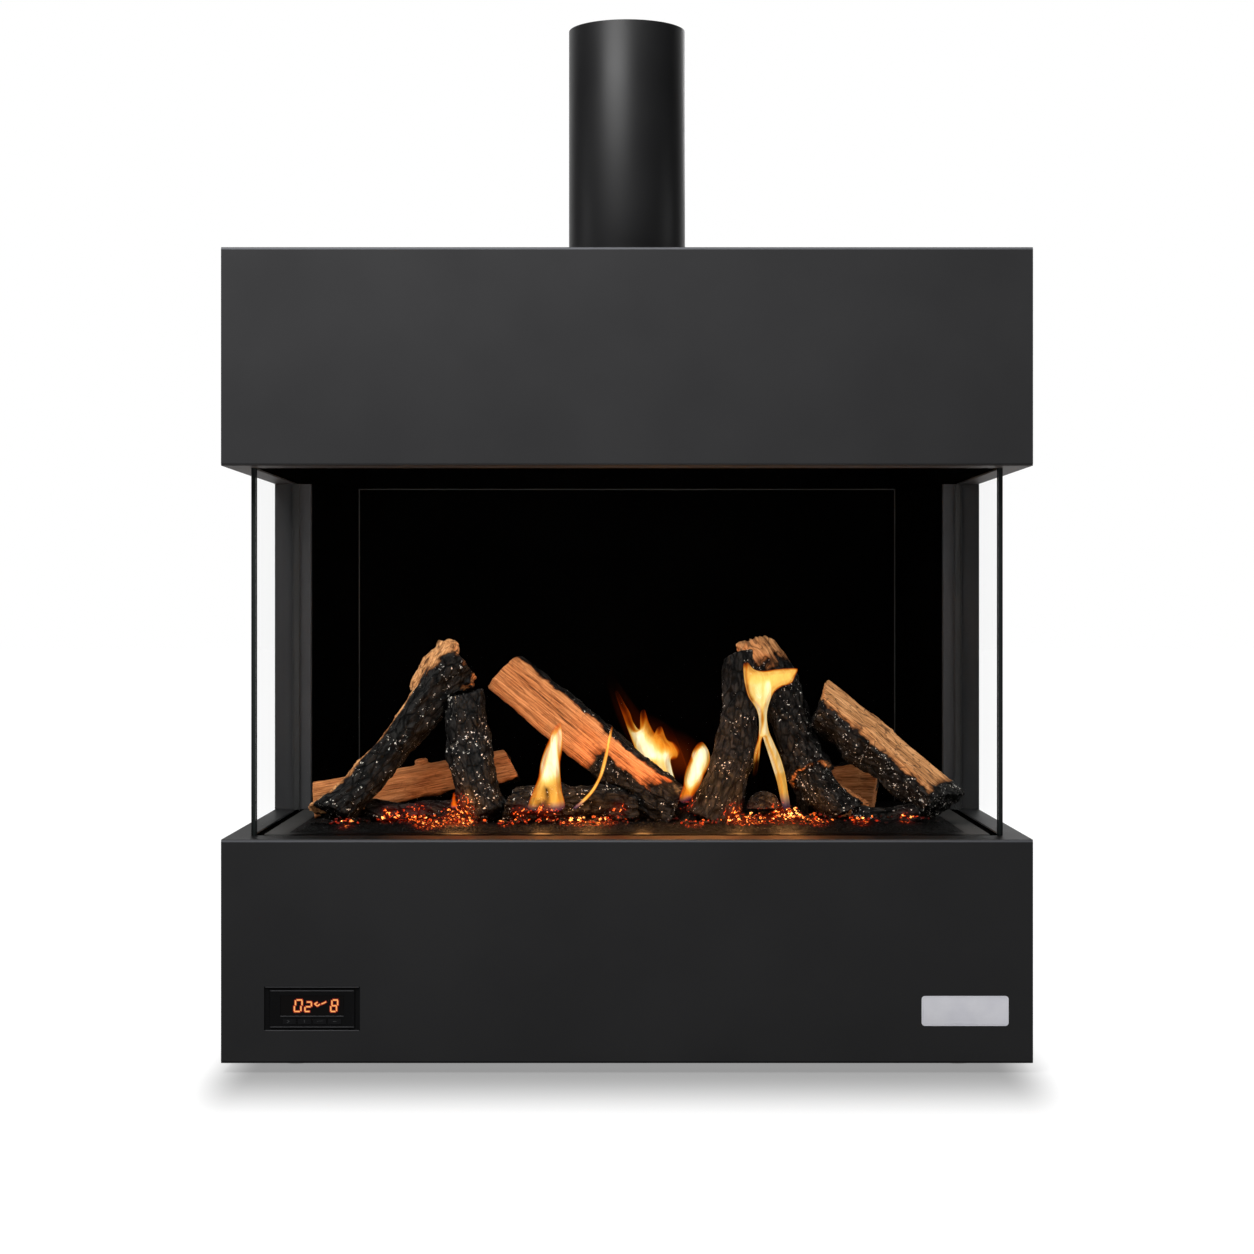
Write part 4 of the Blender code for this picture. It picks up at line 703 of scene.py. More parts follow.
# The small plate is stamped from bright metal, with round corners, a fine brushed face and a thin pressed
# line inside its edge. It is stuck into a shallow seat in the base.
plate_low, plate_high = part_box("badge_plate")
deselect()
bpy.ops.mesh.primitive_cube_add(size=1.0, location=middle_of(plate_low, plate_high))
plate = bpy.context.object
plate.scale = [b - a for a, b in zip(plate_low, plate_high)]
bpy.ops.object.transform_apply(location=False, rotation=False, scale=True)
mode("EDIT")
bpy.ops.mesh.select_mode(type="EDGE")
bpy.ops.mesh.select_all(action="DESELECT")
mode("OBJECT")
for edge in plate.data.edges:
    a, b = (plate.data.vertices[index].co for index in edge.vertices)
    edge.select = abs(a.x - b.x) < 1e-5 and abs(a.z - b.z) < 1e-5
mode("EDIT")
bpy.ops.mesh.bevel(offset=0.004, segments=6, affect="EDGES")
bpy.ops.mesh.select_mode(type="FACE")
bpy.ops.mesh.select_all(action="DESELECT")
mode("OBJECT")
for face in plate.data.polygons:
    face.select = face.normal.y < -0.9
mode("EDIT")
for inward, deep in ((0.0005, 0.0), (0.0012, 0.0), (0.0001, -0.0003), (0.0004, 0.0), (0.0001, 0.0003)):
    bpy.ops.mesh.inset(thickness=inward, depth=deep)
mode("OBJECT")
plate_metal = metal("silver_plate", (0.66, 0.66, 0.71), (0.76, 0.76, 0.8), 0.42, (30.0, 700.0, 1400.0))
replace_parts(settle(plate, "plain_plate", plate_metal, "casing"), "badge_plate")


# The ember bed is loose black granules over the burner, level at its edges and heaped between the logs. Where
# the gas comes through, the granules and the flakes of mineral wool among them glow.
# The heaps have their place, height and reach, and the hot spots their place and reach.
ember_heaps = (
    (-0.212, -0.11, 0.015, 0.022), (-0.255, -0.13, 0.004, 0.032), (0.15, -0.13, 0.008, 0.028),
    (0.198, -0.118, 0.018, 0.024), (0.078, -0.112, 0.022, 0.014), (0.24, -0.13, 0.006, 0.03),
    (0.292, -0.14, 0.006, 0.028), (0.35, -0.14, 0.005, 0.026), (-0.045, -0.155, 0.004, 0.04),
    (-0.345, -0.15, 0.004, 0.026), (0.01, -0.03, 0.008, 0.06),
)
hot_spots = (
    (-0.349, -0.175, 0.286, 0.012), (-0.303, -0.11, 0.292, 0.013), (-0.267, -0.112, 0.292, 0.021),
    (-0.247, -0.17, 0.286, 0.02), (-0.2165, -0.125, 0.302, 0.02), (-0.208, -0.152, 0.289, 0.024),
    (-0.15, -0.175, 0.286, 0.009), (-0.134, -0.146, 0.298, 0.012), (-0.101, -0.147, 0.302, 0.017),
    (-0.064, -0.167, 0.287, 0.019), (-0.027, -0.167, 0.287, 0.019), (-0.009, -0.126, 0.302, 0.012),
    (0.0745, -0.121, 0.312, 0.013), (0.083, -0.17, 0.286, 0.015), (0.135, -0.147, 0.293, 0.018),
    (0.156, -0.15, 0.292, 0.018), (0.19, -0.145, 0.298, 0.02), (0.208, -0.14, 0.304, 0.016),
    (0.237, -0.15, 0.29, 0.02), (0.293, -0.155, 0.289, 0.014), (0.351, -0.14, 0.292, 0.013),
)


def heat_at(place):
    """How hot the embers are at a place, from 0 to 1."""
    heat = 0.0
    for x, y, z, reach in hot_spots:
        square = (place[0] - x) ** 2 + (0.6 * (place[1] - y)) ** 2 + (place[2] - z) ** 2
        heat += math.exp(-square / reach ** 2)
    return min(1.0, heat)


def heap_at(x, y):
    """How high the granules are heaped over the level bed."""
    return sum(high * math.exp(-((x - a) ** 2 + (y - b) ** 2) / wide ** 2)
               for a, b, high, wide in ember_heaps)


# A scatter of small irregular beads. Share is how many of the places hold one.
beads, into, out = node_group("beads", {"Vector": None, "Scale": 200.0, "Share": 0.5, "Size": 0.2}, ("Mask",))


def warped(place, scale, reach):
    """A place pushed about by noise, and the noise."""
    tree = place.id_data
    warp = add_node(tree, "TexNoise", {"Vector": place, "Scale": scale, "Detail": 2.0})
    push = add_node(tree, "VectorMath", {0: warp.outputs[1], 1: (reach,) * 3}, operation="MULTIPLY")
    moved = add_node(tree, "VectorMath", {0: place, 1: push.outputs[0]}, operation="ADD")
    return moved.outputs[0], warp.outputs[0]


moved = warped(into["Vector"], 260.0, 0.01)[0]
cells = add_node(beads, "TexVoronoi", {"Vector": moved, "Scale": into["Scale"]})
pick = add_node(beads, "SeparateColor", {0: cells.outputs["Color"]}).outputs[0]
near = span(cells.outputs["Distance"], into["Size"], 0.05)
crowd = noise_level(into["Vector"], 34.0, 2.0)
shift = times(minus(crowd, 0.5), 1.6)
chosen = maths("LESS_THAN", minus(pick, shift), into["Share"])
put(out, {"Mask": times(near, chosen)})


def ember_glow(shader, place, strength):
    """Glowing cracks and spots where the ember heat asks for them, in a dark red surrounding."""
    tree = shader.id_data
    heat = stored(tree, "ember_heat")
    gate = span(heat, 0.36, 0.85)
    spots = use_group(tree, beads, {"Vector": place, "Scale": 300.0, "Size": 0.38, "Share": 0.09}).outputs[0]
    moved, warp = warped(place, 210.0, 0.006)
    cells = add_node(tree, "TexVoronoi", {"Vector": moved, "Scale": 170.0}, feature="DISTANCE_TO_EDGE")
    cracks = span(cells.outputs["Distance"], 0.16, 0.03)
    broken = span(warp, 0.56, 0.63)
    glow = times(gate, maths("MAXIMUM", spots, times(cracks, broken)))
    glow = plus(times(glow, 0.9), times(maths("POWER", heat, 2.0), 0.07))
    colour = ramp(glow, (0.0, (0.22, 0.003, 0.0)), (0.12, (0.7, 0.015, 0.001)), (0.4, (1.0, 0.11, 0.008)),
                  (0.8, (1.0, 0.3, 0.05)))
    put(shader, {"Emission Color": colour, "Emission Strength": times(glow, strength)})


bed_low, bed_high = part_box("ember_bed")
bed_level, bed_margin = 0.2777, 0.02
deselect()
bpy.ops.mesh.primitive_grid_add(x_subdivisions=300, y_subdivisions=175, size=1.0,
                                location=(*middle_of(bed_low, bed_high)[:2], bed_level))
bed = bpy.context.object
bed.scale = (bed_high[0] - bed_low[0], bed_high[1] - bed_low[1], 1.0)
bpy.ops.object.transform_apply(location=True, rotation=True, scale=True)
mode("EDIT")
bpy.ops.mesh.select_mode(type="VERT")
for side in (-1, 1):
    bpy.ops.mesh.select_all(action="SELECT")
    bpy.ops.mesh.bisect(plane_co=(side * 0.4137, 0.134, 0.0), plane_no=(side * 0.1407, 0.044, 0.0),
                        clear_outer=True)
bpy.ops.mesh.select_all(action="DESELECT")
bpy.ops.mesh.select_non_manifold(extend=False)
bpy.ops.mesh.extrude_region_move(TRANSFORM_OT_translate={"value": (0.0, 0.0, -0.01)})
bpy.ops.mesh.edge_face_add()
mode("OBJECT")
heats = []
for vert in bed.data.vertices:
    x, y, z = vert.co
    if z > 0.275:
        edge = min(x - bed_low[0], bed_high[0] - x, y - bed_low[1], bed_high[1] - y, bed_margin) / bed_margin
        cell = noise.voronoi(Vector((x * 150, y * 150, 0.0)))[0][0]
        rubble = 0.004 * (1.0 - cell) + 0.0016 * noise.noise(Vector((x * 420, y * 420, 3.0)))
        swell = 0.004 * math.sin(math.pi * (x - bed_low[0]) / (bed_high[0] - bed_low[0]))
        vert.co.z += (rubble + swell + heap_at(x, y)) * max(0.15, edge)
    heats.append(heat_at((x, y, vert.co.z)))
store(bed.data, ember_heat=heats)
bpy.ops.object.shade_smooth()
bed.data.validate()
material, tree, shader = new_material("ember_granules")
place = object_place(tree)
crumbs = add_node(tree, "TexVoronoi", {"Vector": place, "Scale": 260.0})
dirt = noise_level(place, 500.0, 4.0)
tone = ramp(dirt, (0.35, (0.0006,)), (0.6, (0.0018,)), (0.75, (0.01, 0.009, 0.008)))
put(shader, {"Base Color": tone, "Roughness": ramp(dirt, (0.3, (0.85,)), (0.8, (0.45,))),
             "Specular IOR Level": 0.04})
ember_glow(shader, place, 2.6)
bump(shader, plus(crumbs.outputs["Distance"], dirt), 0.0012)
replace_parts(settle(bed, "ember_granule_bed", material, "casing"), "ember_bed")

# The loose chips are one small broken flake, copied a few hundred times over the front of the bed.
dice = random.Random(11)
deselect()
bpy.ops.mesh.primitive_ico_sphere_add(subdivisions=1, radius=1.0)
flake = bpy.context.object
corners = [Vector(vert.co) * dice.uniform(0.7, 1.2) for vert in flake.data.vertices]
faces = [list(face.vertices) for face in flake.data.polygons]
bpy.data.objects.remove(flake)
points, tris, heats = [], [], []
chip_count, chip_level = 760, 0.2862
for count in range(chip_count):
    if count % 10 < 8:
        x, y, _, reach = hot_spots[dice.randrange(len(hot_spots))]
        x, y = dice.gauss(x, reach * 0.85), dice.gauss(y, reach * 0.55)
    else:
        x, y = dice.uniform(-0.39, 0.39), dice.uniform(-0.198, -0.13)
    if not -0.4 < x < 0.4 or not -0.2 < y < 0.2:
        continue
    z = chip_level + heap_at(x, y) + dice.uniform(0.0, 0.003)
    size = dice.uniform(0.001, 0.0023)
    turn = Matrix.Rotation(dice.uniform(0, 6.28), 3, "Z") @ Matrix.Rotation(dice.uniform(0, 6.28), 3, "X")
    shape = Vector((dice.uniform(0.8, 1.9), dice.uniform(0.6, 1.1), dice.uniform(0.4, 0.9))) * size
    start = len(points)
    heat = heat_at((x, y, z)) * dice.choice((0.0, 0.0, 0.0, 0.04, 0.1, 0.25, 0.6, 1.3))
    for corner in corners:
        points.append(Vector((x, y, z)) + turn @ (corner * shape))
        heats.append(heat)
    tris.extend([[start + index for index in face] for face in faces])
mesh = bpy.data.meshes.new("ember_chips")
mesh.from_pydata(points, [], tris)
chips = add_object("ember_chips", mesh)
store(mesh, ember_heat=heats)
material, tree, shader = new_material("ember_chip")
heat = stored(tree, "ember_heat")
crust = noise_level(object_place(tree), 600.0, 3.0)
put(shader, {"Base Color": ramp(crust, (0.35, (0.001,)), (0.7, (0.01, 0.009, 0.008))), "Roughness": 0.6,
             "Specular IOR Level": 0.05})
patchy = times(heat, span(crust, 0.42, 0.56))
colour = ramp(patchy, (0.02, (0.4, 0.006, 0.0)), (0.16, (1.0, 0.05, 0.003)), (0.4, (1.0, 0.17, 0.016)),
              (0.8, (1.0, 0.4, 0.1)))
put(shader, {"Emission Color": colour, "Emission Strength": times(maths("POWER", patchy, 0.7), 3.6)})
bump(shader, crust, 0.0006)
material.cycles.emission_sampling = "NONE"
settle(chips, "ember_chips", material, "casing")


# The eleven logs are cast from ceramic fibre and finished by hand: charred bark with painted glints,
# near-white specks that stand in for highlights, and split faces in the colour of bare wood. Each lies on the
# bed and leans on its neighbours.

# Each log has both ends of its middle line, its bend at a third and two thirds, and its patches of bare wood
# as (middle, half width, low, high), in turns about the log and in shares of its length.
log_places = {
    "log_left_bed": ((-0.3312, -0.0877, 0.2936), (-0.207, -0.0877, 0.294), (0.0027, 0.0027), ()),
    "log_centre_bed": ((-0.147, -0.1264, 0.3038), (0.0041, -0.1119, 0.3029), (0.003, 0.003), ()),
    "log_right_bed": ((0.2836, -0.1119, 0.2913), (0.3643, -0.107, 0.2913), (0.0027, 0.0027), ()),
    "log_left_back": ((-0.4078, -0.0007, 0.3011), (-0.1499, -0.0007, 0.3491), (0.0012, 0.0012),
                      ((0.38, 0.29, -0.2, 1.2),)),
    "log_right_back": ((0.2277, 0.0186, 0.3136), (0.3279, 0.0186, 0.3127), (0.0006, 0.0006),
                       ((0.4, 0.38, 0.3, 1.2),)),
    "log_left_prop": ((-0.1648, -0.1225, 0.2869), (-0.212, -0.0708, 0.4447), (-0.0114, -0.009), ()),
    "log_left_leaning": ((-0.3747, -0.1249, 0.2949), (-0.2169, -0.0635, 0.4869), (0.009, 0.0048),
                         ((0.52, 0.13, -0.2, 1.2), (0.52, 0.22, 0.8, 1.2), (0.34, 0.22, 0.94, 1.2),
                          (0.06, 0.075, 0.84, 1.06))),
    "log_centre_split": ((0.0621, -0.1167, 0.3011), (-0.1557, -0.049, 0.47), (-0.0036, -0.0018),
                         ((0.285, 0.222, 0.36, 1.2), (0.165, 0.095, 0.06, 0.6))),
    "log_right_crossed": ((0.279, -0.1094, 0.2958), (0.1706, 0.0041, 0.4936), (-0.0162, -0.0006),
                          ((0.3, 0.34, 0.82, 1.2),)),
    "log_right_upright": ((0.1043, -0.1215, 0.2833), (0.1428, -0.0708, 0.4931), (0.0132, 0.0126), ()),
    "log_far_right": ((0.4036, -0.0998, 0.3073), (0.2501, -0.0466, 0.4345), (0.0, 0.0009),
                      ((0.06, 0.225, 0.02, 1.2),)),
}
# Lumps that stand out of a log: the place of the middle, the three radii along the log and across it.
log_lumps = {
    "log_left_leaning": (
        ((-0.246, -0.062, 0.481), (0.034, 0.017, 0.02)), ((-0.264, -0.064, 0.466), (0.023, 0.008, 0.014)),
        ((-0.23, -0.06, 0.498), (0.018, 0.014, 0.015)), ((-0.202, -0.086, 0.458), (0.007, 0.01, 0.008)),
    ),
    "log_right_crossed": (((0.153, 0.004, 0.5), (0.01, 0.007, 0.008)),
                          ((0.176, 0.006, 0.49), (0.012, 0.008, 0.01))),
    "log_left_back": (((-0.268, -0.012, 0.354), (0.01, 0.004, 0.004)),),
}
# Bark that has burst: it stands out of the log between two shares of its length, by a height in metres.
bark_sleeves = {
    "log_right_crossed": ((0.25, 1.3, 0.004), (0.25, 0.36, 0.005), (0.12, 0.16, 0.004)),
    "log_far_right": ((0.02, 0.1, 0.003), (0.55, 0.72, 0.002)),
    "log_left_prop": ((-0.1, 0.22, 0.003), (0.6, 0.63, 0.0015)),
    "log_right_upright": ((0.62, 0.66, 0.002), (0.3, 0.34, 0.002)),
    "log_left_leaning": ((-0.1, 0.12, 0.002), (0.48, 0.51, 0.0015)),
}
# How thickly each log is strewn with painted glints. The others have the usual share.
log_glint_shares = {"log_far_right": 0.4, "log_right_crossed": 0.24, "log_left_prop": 0.2,
               "log_left_leaning": 0.15, "log_right_bed": 0.24}


def scaled_place(place, scale):
    """A place stretched along its axes."""
    return add_node(place.id_data, "Mapping", {"Vector": place, "Scale": scale}).outputs[0]


def log_finish(name, layers, tint):
    """Charred bark and bare wood on one log, told apart by the wood attribute, with the grain along the log.

    Layers is how strongly the edges of peeled layers show on the wood, and the tint colours its timber.
    """
    material, tree, shader = new_material(name)
    place = stored(tree, "grain_place", "Vector")
    wood = stored(tree, "wood")
    bark_place = scaled_place(place, (1.0, 1.0, 0.5))
    wrinkles = noise_level(bark_place, 190.0, 6.0, Roughness=0.62, Distortion=0.6)
    scales = add_node(tree, "TexVoronoi", {"Vector": bark_place, "Scale": 95.0},
                      feature="DISTANCE_TO_EDGE").outputs["Distance"]
    cracks = span(scales, 0.0, 0.12)
    relief = plus(times(wrinkles, 0.8), times(cracks, 0.2))
    char = ramp(relief, (0.4, (0.0003,)), (0.54, (0.0032, 0.003, 0.0028)), (0.7, (0.018, 0.0168, 0.0155)))
    sown = stored(tree, "sown")
    large, small = (
        use_group(tree, beads, {"Vector": place, "Scale": scale, "Share": share, "Size": size}).outputs[0]
        for scale, share, size in ((130.0, times(sown, 0.7), 0.24), (270.0, sown, 0.33)))
    torn = span(noise_level(place, 620.0, 1.0), 0.42, 0.5)
    crests = span(wrinkles, 0.4, 0.5)
    # Painted glints: near-white specks on the crests of the wrinkles, on the bark only, stand in for
    # highlights.
    painted_glints = times(maths("MAXIMUM", large, small), times(torn, crests))
    painted_glints = times(painted_glints, maths("SUBTRACT", 1.0, wood, clamp=True))
    painted_glints = span(painted_glints, 0.08, 0.35)
    char = blend(painted_glints, char, (0.86, 0.8, 0.72, 1.0))
    grain_place = scaled_place(place, (1.0, 1.0, 0.05))
    fibres = noise_level(grain_place, 620.0, 4.0, Roughness=0.6, Distortion=0.3)
    bands = noise_level(grain_place, 110.0, 3.0)
    grain = plus(times(fibres, 0.78), times(bands, 0.22))
    flecks = noise_level(scaled_place(place, (1.0, 1.0, 0.14)), 330.0, 3.0, Distortion=0.8)
    grain = minus(grain, span(flecks, 0.42, 0.33, 0.0, 0.02 + 0.1 * layers))
    timber = ramp(grain, (0.33, (0.07, 0.025, 0.009)), (0.4, (0.29, 0.12, 0.042)),
                  (0.52, (0.52, 0.245, 0.095)), (0.66, (0.72, 0.385, 0.175)))
    timber = blend(1.0, timber, tint, "MULTIPLY")
    peel = noise_level(scaled_place(place, (1.0, 1.0, 0.35)), 50.0, 1.5)
    ring = span(maths("PINGPONG", peel, 0.05), 0.0, 0.014, layers, 0.0)
    timber = blend(ring, timber, (0.045, 0.018, 0.008, 1.0))
    frayed = plus(wood, times(minus(bands, 0.5), 0.9))
    scorch = ramp(frayed, (0.4, (0.02, 0.012, 0.008)), (0.62, (0.42, 0.36, 0.32)), (0.95, (1.0, 1.0, 1.0)))
    timber = blend(1.0, timber, scorch, "MULTIPLY")
    share = span(frayed, 0.32, 0.5)
    gloss = span(painted_glints, 0.0, 1.0, 0.6, 0.25)
    rough = add_node(tree, "Mix", {0: share, 2: gloss, 3: 0.75}).outputs[0]
    put(shader, {"Base Color": blend(share, char, timber), "Specular IOR Level": 0.05, "Roughness": rough})
    bark_height, wood_height = plus(relief, times(painted_glints, 0.4)), times(grain, 0.8)
    height = add_node(tree, "Mix", {0: share, 2: bark_height, 3: wood_height}).outputs[0]
    ember_glow(shader, place, 3.2)
    material.cycles.emission_sampling = "NONE"
    bump(shader, height, 0.0028)
    return material


def clouds(name, size, noise_type="SOFT_NOISE", depth=2):
    """A relief pattern of a given size."""
    texture = bpy.data.textures.new(name, "CLOUDS")
    texture.noise_scale = size
    texture.noise_type = noise_type
    texture.noise_depth = depth
    return texture


lumps = clouds("bark_lumps", 0.022)
ridges = clouds("bark_ridges", 0.009, "HARD_NOISE", 3)
fibre_lines = clouds("wood_fibres", 0.0045, "HARD_NOISE")
charred_finish = log_finish("charred_ceramic", 0.85, (1.0, 1.0, 1.0, 1.0))
split_finish = log_finish("split_wood_ceramic", 0.25, (0.84, 0.68, 0.6, 1.0))
sleeve_lift, usual_glints = 0.01, 0.12
for number, (name, (foot, head, bends, patches)) in enumerate(log_places.items()):
    foot, head = Vector(foot), Vector(head)
    direction = (head - foot).normalized()
    length = (head - foot).length
    along = direction if direction.z > 0 else -direction
    right = Vector((0.0, 1.0, 0.0)).cross(along).normalized()
    towards = along.cross(right)
    if towards.y > 0:
        towards = -towards
    turned = Matrix((right, towards, direction)).transposed().to_4x4()
    log = cad_copy(name, f"{name}_cast", 0.0001)
    parts = [log]
    for place, (long, wide, deep) in log_lumps.get(name, ()):
        bpy.ops.mesh.primitive_ico_sphere_add(subdivisions=3, radius=1.0)
        knob = bpy.context.object
        knob.matrix_world = Matrix.Translation(place) @ turned @ Matrix.Diagonal((wide, deep, long, 1.0))
        parts.append(knob)
    join(parts)
    modify(log, "fine_mesh", "REMESH", mode="VOXEL", voxel_size=0.002)
    bark_group = log.vertex_groups.new(name="bark_zone")
    wood_group = log.vertex_groups.new(name="wood_zone")
    sleeve_group = log.vertex_groups.new(name="sleeve_zone")
    woods, places, heats, sown = [], [], [], []
    for vert in log.data.vertices:
        offset = vert.co - foot
        t = offset.dot(direction) / length
        inside = min(1.0, max(0.0, t))
        bent = bends[0] * (2 - 3 * inside) + bends[1] * (3 * inside - 1)
        offset -= right * (4.5 * inside * (1 - inside) * bent)
        wobble = noise.noise(vert.co * 60.0)
        frill = noise.noise(vert.co * 190.0)
        share = t + 0.05 * wobble + 0.02 * frill
        turn = math.atan2(offset.dot(towards), offset.dot(right)) / math.tau + 0.03 * wobble + 0.015 * frill
        wood = 0.0
        for middle, half, low, high in patches:
            gap = abs((turn - middle + 0.5) % 1.0 - 0.5)
            wood = max(wood, min((half - gap) / 0.05, (share - low) / 0.12, (high - share) / 0.12, 1.0))
        # The burst ring on the crossed log is painted as a thin band of bare wood: partly the wood under its
        # broken bark, partly painted light for the fire's glow on its rim.
        if name == "log_right_crossed":
            wood = max(wood, 0.75 - abs(share - 0.262) / 0.02)
        # Painted glints are strewn three times as thickly along the edges of burst bark.
        rim = any(abs(share - low) < 0.02 for low, _, _ in bark_sleeves.get(name, ()))
        sown.append(min(1.0, log_glint_shares.get(name, usual_glints) * (3.0 if rim else 1.0)))
        woods.append(wood)
        places.append((offset.dot(right) + number, offset.dot(towards), offset.dot(direction)))
        heats.append(min(1.0, heat_at(vert.co) * 0.9) if vert.co.y < -0.08 else 0.0)
        sleeve = sum(max(0.0, min(1.0, (share - low) / 0.018, (high - share) / 0.06)) * lift
                     for low, high, lift in bark_sleeves.get(name, ()))
        if sleeve > 0.0:
            sleeve_group.add([vert.index], sleeve / sleeve_lift * (0.75 + 0.5 * wobble), "REPLACE")
        zone = min(1.0, max(0.0, wood * 1.6 - 0.2))
        bark_group.add([vert.index], 1.0 - zone, "REPLACE")
        wood_group.add([vert.index], zone, "REPLACE")
    store(log.data, wood=woods, grain_place=places, ember_heat=heats, sown=sown)
    if name in bark_sleeves:
        modify(log, "sleeves", "DISPLACE", vertex_group="sleeve_zone", strength=sleeve_lift, mid_level=0.0)
    guide = add_object("grain_guide", None)
    coarse = name in ("log_left_leaning", "log_right_crossed")
    for label, texture, group, strength, stretch in (
        ("lumps", lumps, "bark_zone", 0.005, 1.6), ("ridges", ridges, "bark_zone", 0.006, 2.2),
        ("fibres", fibre_lines, "wood_zone", 0.005 if coarse else 0.002, 8.0),
    ):
        guide.matrix_world = Matrix.Translation(foot) @ turned @ Matrix.Diagonal((1.0, 1.0, stretch, 1.0))
        bpy.context.view_layer.update()
        modify(log, label, "DISPLACE", texture=texture, texture_coords="OBJECT", texture_coords_object=guide,
               vertex_group=group, strength=strength, mid_level=0.5)
    bpy.data.objects.remove(guide)
    bpy.ops.object.shade_smooth()
    split = name in ("log_left_back", "log_right_back", "log_centre_split")
    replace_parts(settle(log, f"{name}_cast", split_finish if split else charred_finish, "casing"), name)


# Two loose pieces finish the set: a split wedge before the right back log, and a lump of char on the embers
# between the crossed log and the upright one.
wedge_top, wedge_slope = 0.45, 0.022
for name, low, high, finish, slot in (
    ("split_wedge", (0.2735, -0.066, 0.284), (0.3115, -0.04, 0.3265), split_finish, "split_log"),
    ("char_lump", (0.15, -0.143, 0.301), (0.195, -0.112, 0.3235), charred_finish, "charred_log"),
):
    wedge = add_block(low, high)
    mode("EDIT")
    bpy.ops.mesh.select_all(action="SELECT")
    bpy.ops.mesh.subdivide(number_cuts=5)
    bpy.ops.mesh.select_all(action="DESELECT")
    mode("OBJECT")
    middle = middle_of(low, high)
    for vert in wedge.data.vertices:
        up = (vert.co.z - low[2]) / (high[2] - low[2])
        along = (vert.co.x - low[0]) / (high[0] - low[0])
        if name == "split_wedge":
            vert.co.z -= up * wedge_slope * along
            vert.co.y += up * (middle[1] - vert.co.y) * (1 - wedge_top)
        else:
            round_off = math.sqrt(max(0.05, 1 - (2 * along - 1) ** 2))
            vert.co.z = low[2] + (vert.co.z - low[2]) * round_off
            vert.co.y = middle[1] + (vert.co.y - middle[1]) * round_off * (1 - 0.4 * up)
    modify(wedge, "fine_mesh", "REMESH", mode="VOXEL", voxel_size=0.0012)
    woods, places, heats = [], [], []
    for vert in wedge.data.vertices:
        woods.append(1.0 if name == "split_wedge" else -0.5)
        places.append((vert.co.y + 20, vert.co.z, vert.co.x))
        heats.append(heat_at(vert.co) * 0.6 if name == "char_lump" else 0.0)
    store(wedge.data, wood=woods, grain_place=places, ember_heat=heats, sown=[0.3] * len(woods))
    modify(wedge, "relief", "DISPLACE", texture=ridges, texture_coords="OBJECT", strength=0.004,
           mid_level=0.5)
    bpy.ops.object.shade_smooth()
    settle(wedge, name, finish, "casing")


# The flames are thin glowing sheets of gas with nothing solid in them. Each is built as closed skins one
# inside the other, clear at their edges, white-yellow inside and blue at the foot where the gas burns first.
flame_gas, tree, shader = new_material("flame")
streak_place = scaled_place(object_place(tree), (1.0, 1.0, 0.22))
streaks = noise_level(streak_place, 110.0, 2.0, Distortion=0.8)
heat = plus(stored(tree, "core"), times(minus(streaks, 0.5), 0.5))
gas = ramp(heat, (0.0, (0.9, 0.09, 0.002)), (0.25, (1.0, 0.19, 0.006)), (0.5, (1.0, 0.36, 0.028)),
           (0.75, (1.0, 0.6, 0.13)), (1.0, (1.0, 0.9, 0.56)))
foot = span(stored(tree, "rise"), 0.0, 0.12)
colour = blend(foot, (0.13, 0.075, 0.26, 1.0), gas)
level = plus(times(times(heat, heat), 0.75), 0.95)
thin = span(streaks, 0.2, 0.8, 0.7, 1.0)
put(shader, {"Emission Color": colour, "Emission Strength": times(level, plus(times(foot, 0.4), 0.6)),
             "Alpha": times(stored(tree, "cover"), thin), "Base Color": (0.0, 0.0, 0.0, 1.0),
             "Specular IOR Level": 0.0, "Roughness": 1.0})
flame_gas.cycles.emission_sampling = "NONE"
scene.cycles.transparent_max_bounces = 64


def smooth_outline(points, steps=6):
    """A closed curve through the points."""
    curve = []
    count = len(points)
    for index in range(count):
        a, b, c, d = (np.array(points[(index + shift) % count]) for shift in (-1, 0, 1, 2))
        for step in range(steps):
            t = step / steps
            square, cube = 2 * a - 5 * b + 4 * c - d, 3 * b - a - 3 * c + d
            curve.append(0.5 * (2 * b + (c - a) * t + square * t * t + cube * t ** 3))
    return np.array(curve)


def from_line(xs, zs, start, end):
    """How far points lie from a straight line between two others."""
    dx, dz = end[0] - start[0], end[1] - start[1]
    share = np.clip(((xs - start[0]) * dx + (zs - start[1]) * dz) / max(dx * dx + dz * dz, 1e-12), 0.0, 1.0)
    return np.hypot(xs - start[0] - share * dx, zs - start[1] - share * dz)


def depth_inside(xs, zs, outline):
    """How deep points lie inside an outline. Outside it is negative."""
    nearest = np.full(xs.shape, 9.0)
    inside = np.zeros(xs.shape, bool)
    for (ax, az), (bx, bz) in zip(outline, np.roll(outline, -1, axis=0)):
        nearest = np.minimum(nearest, from_line(xs, zs, (ax, az), (bx, bz)))
        crosses = (az > zs) != (bz > zs)
        inside ^= crosses & (xs < ax + (zs - az) / (bz - az if bz != az else 1e-12) * (bx - ax))
    return np.where(inside, nearest, -nearest)


def smooth_step(values):
    """A soft step from 0 to 1."""
    values = np.clip(values, 0.0, 1.0)
    return values * values * (3 - 2 * values)


def near_lines(xs, zs, lines):
    """How near points lie to lines, each with its own reach."""
    return sum((np.exp(-(from_line(xs, zs, a, b) / reach) ** 2) for a, b, reach in lines), np.zeros(xs.shape))


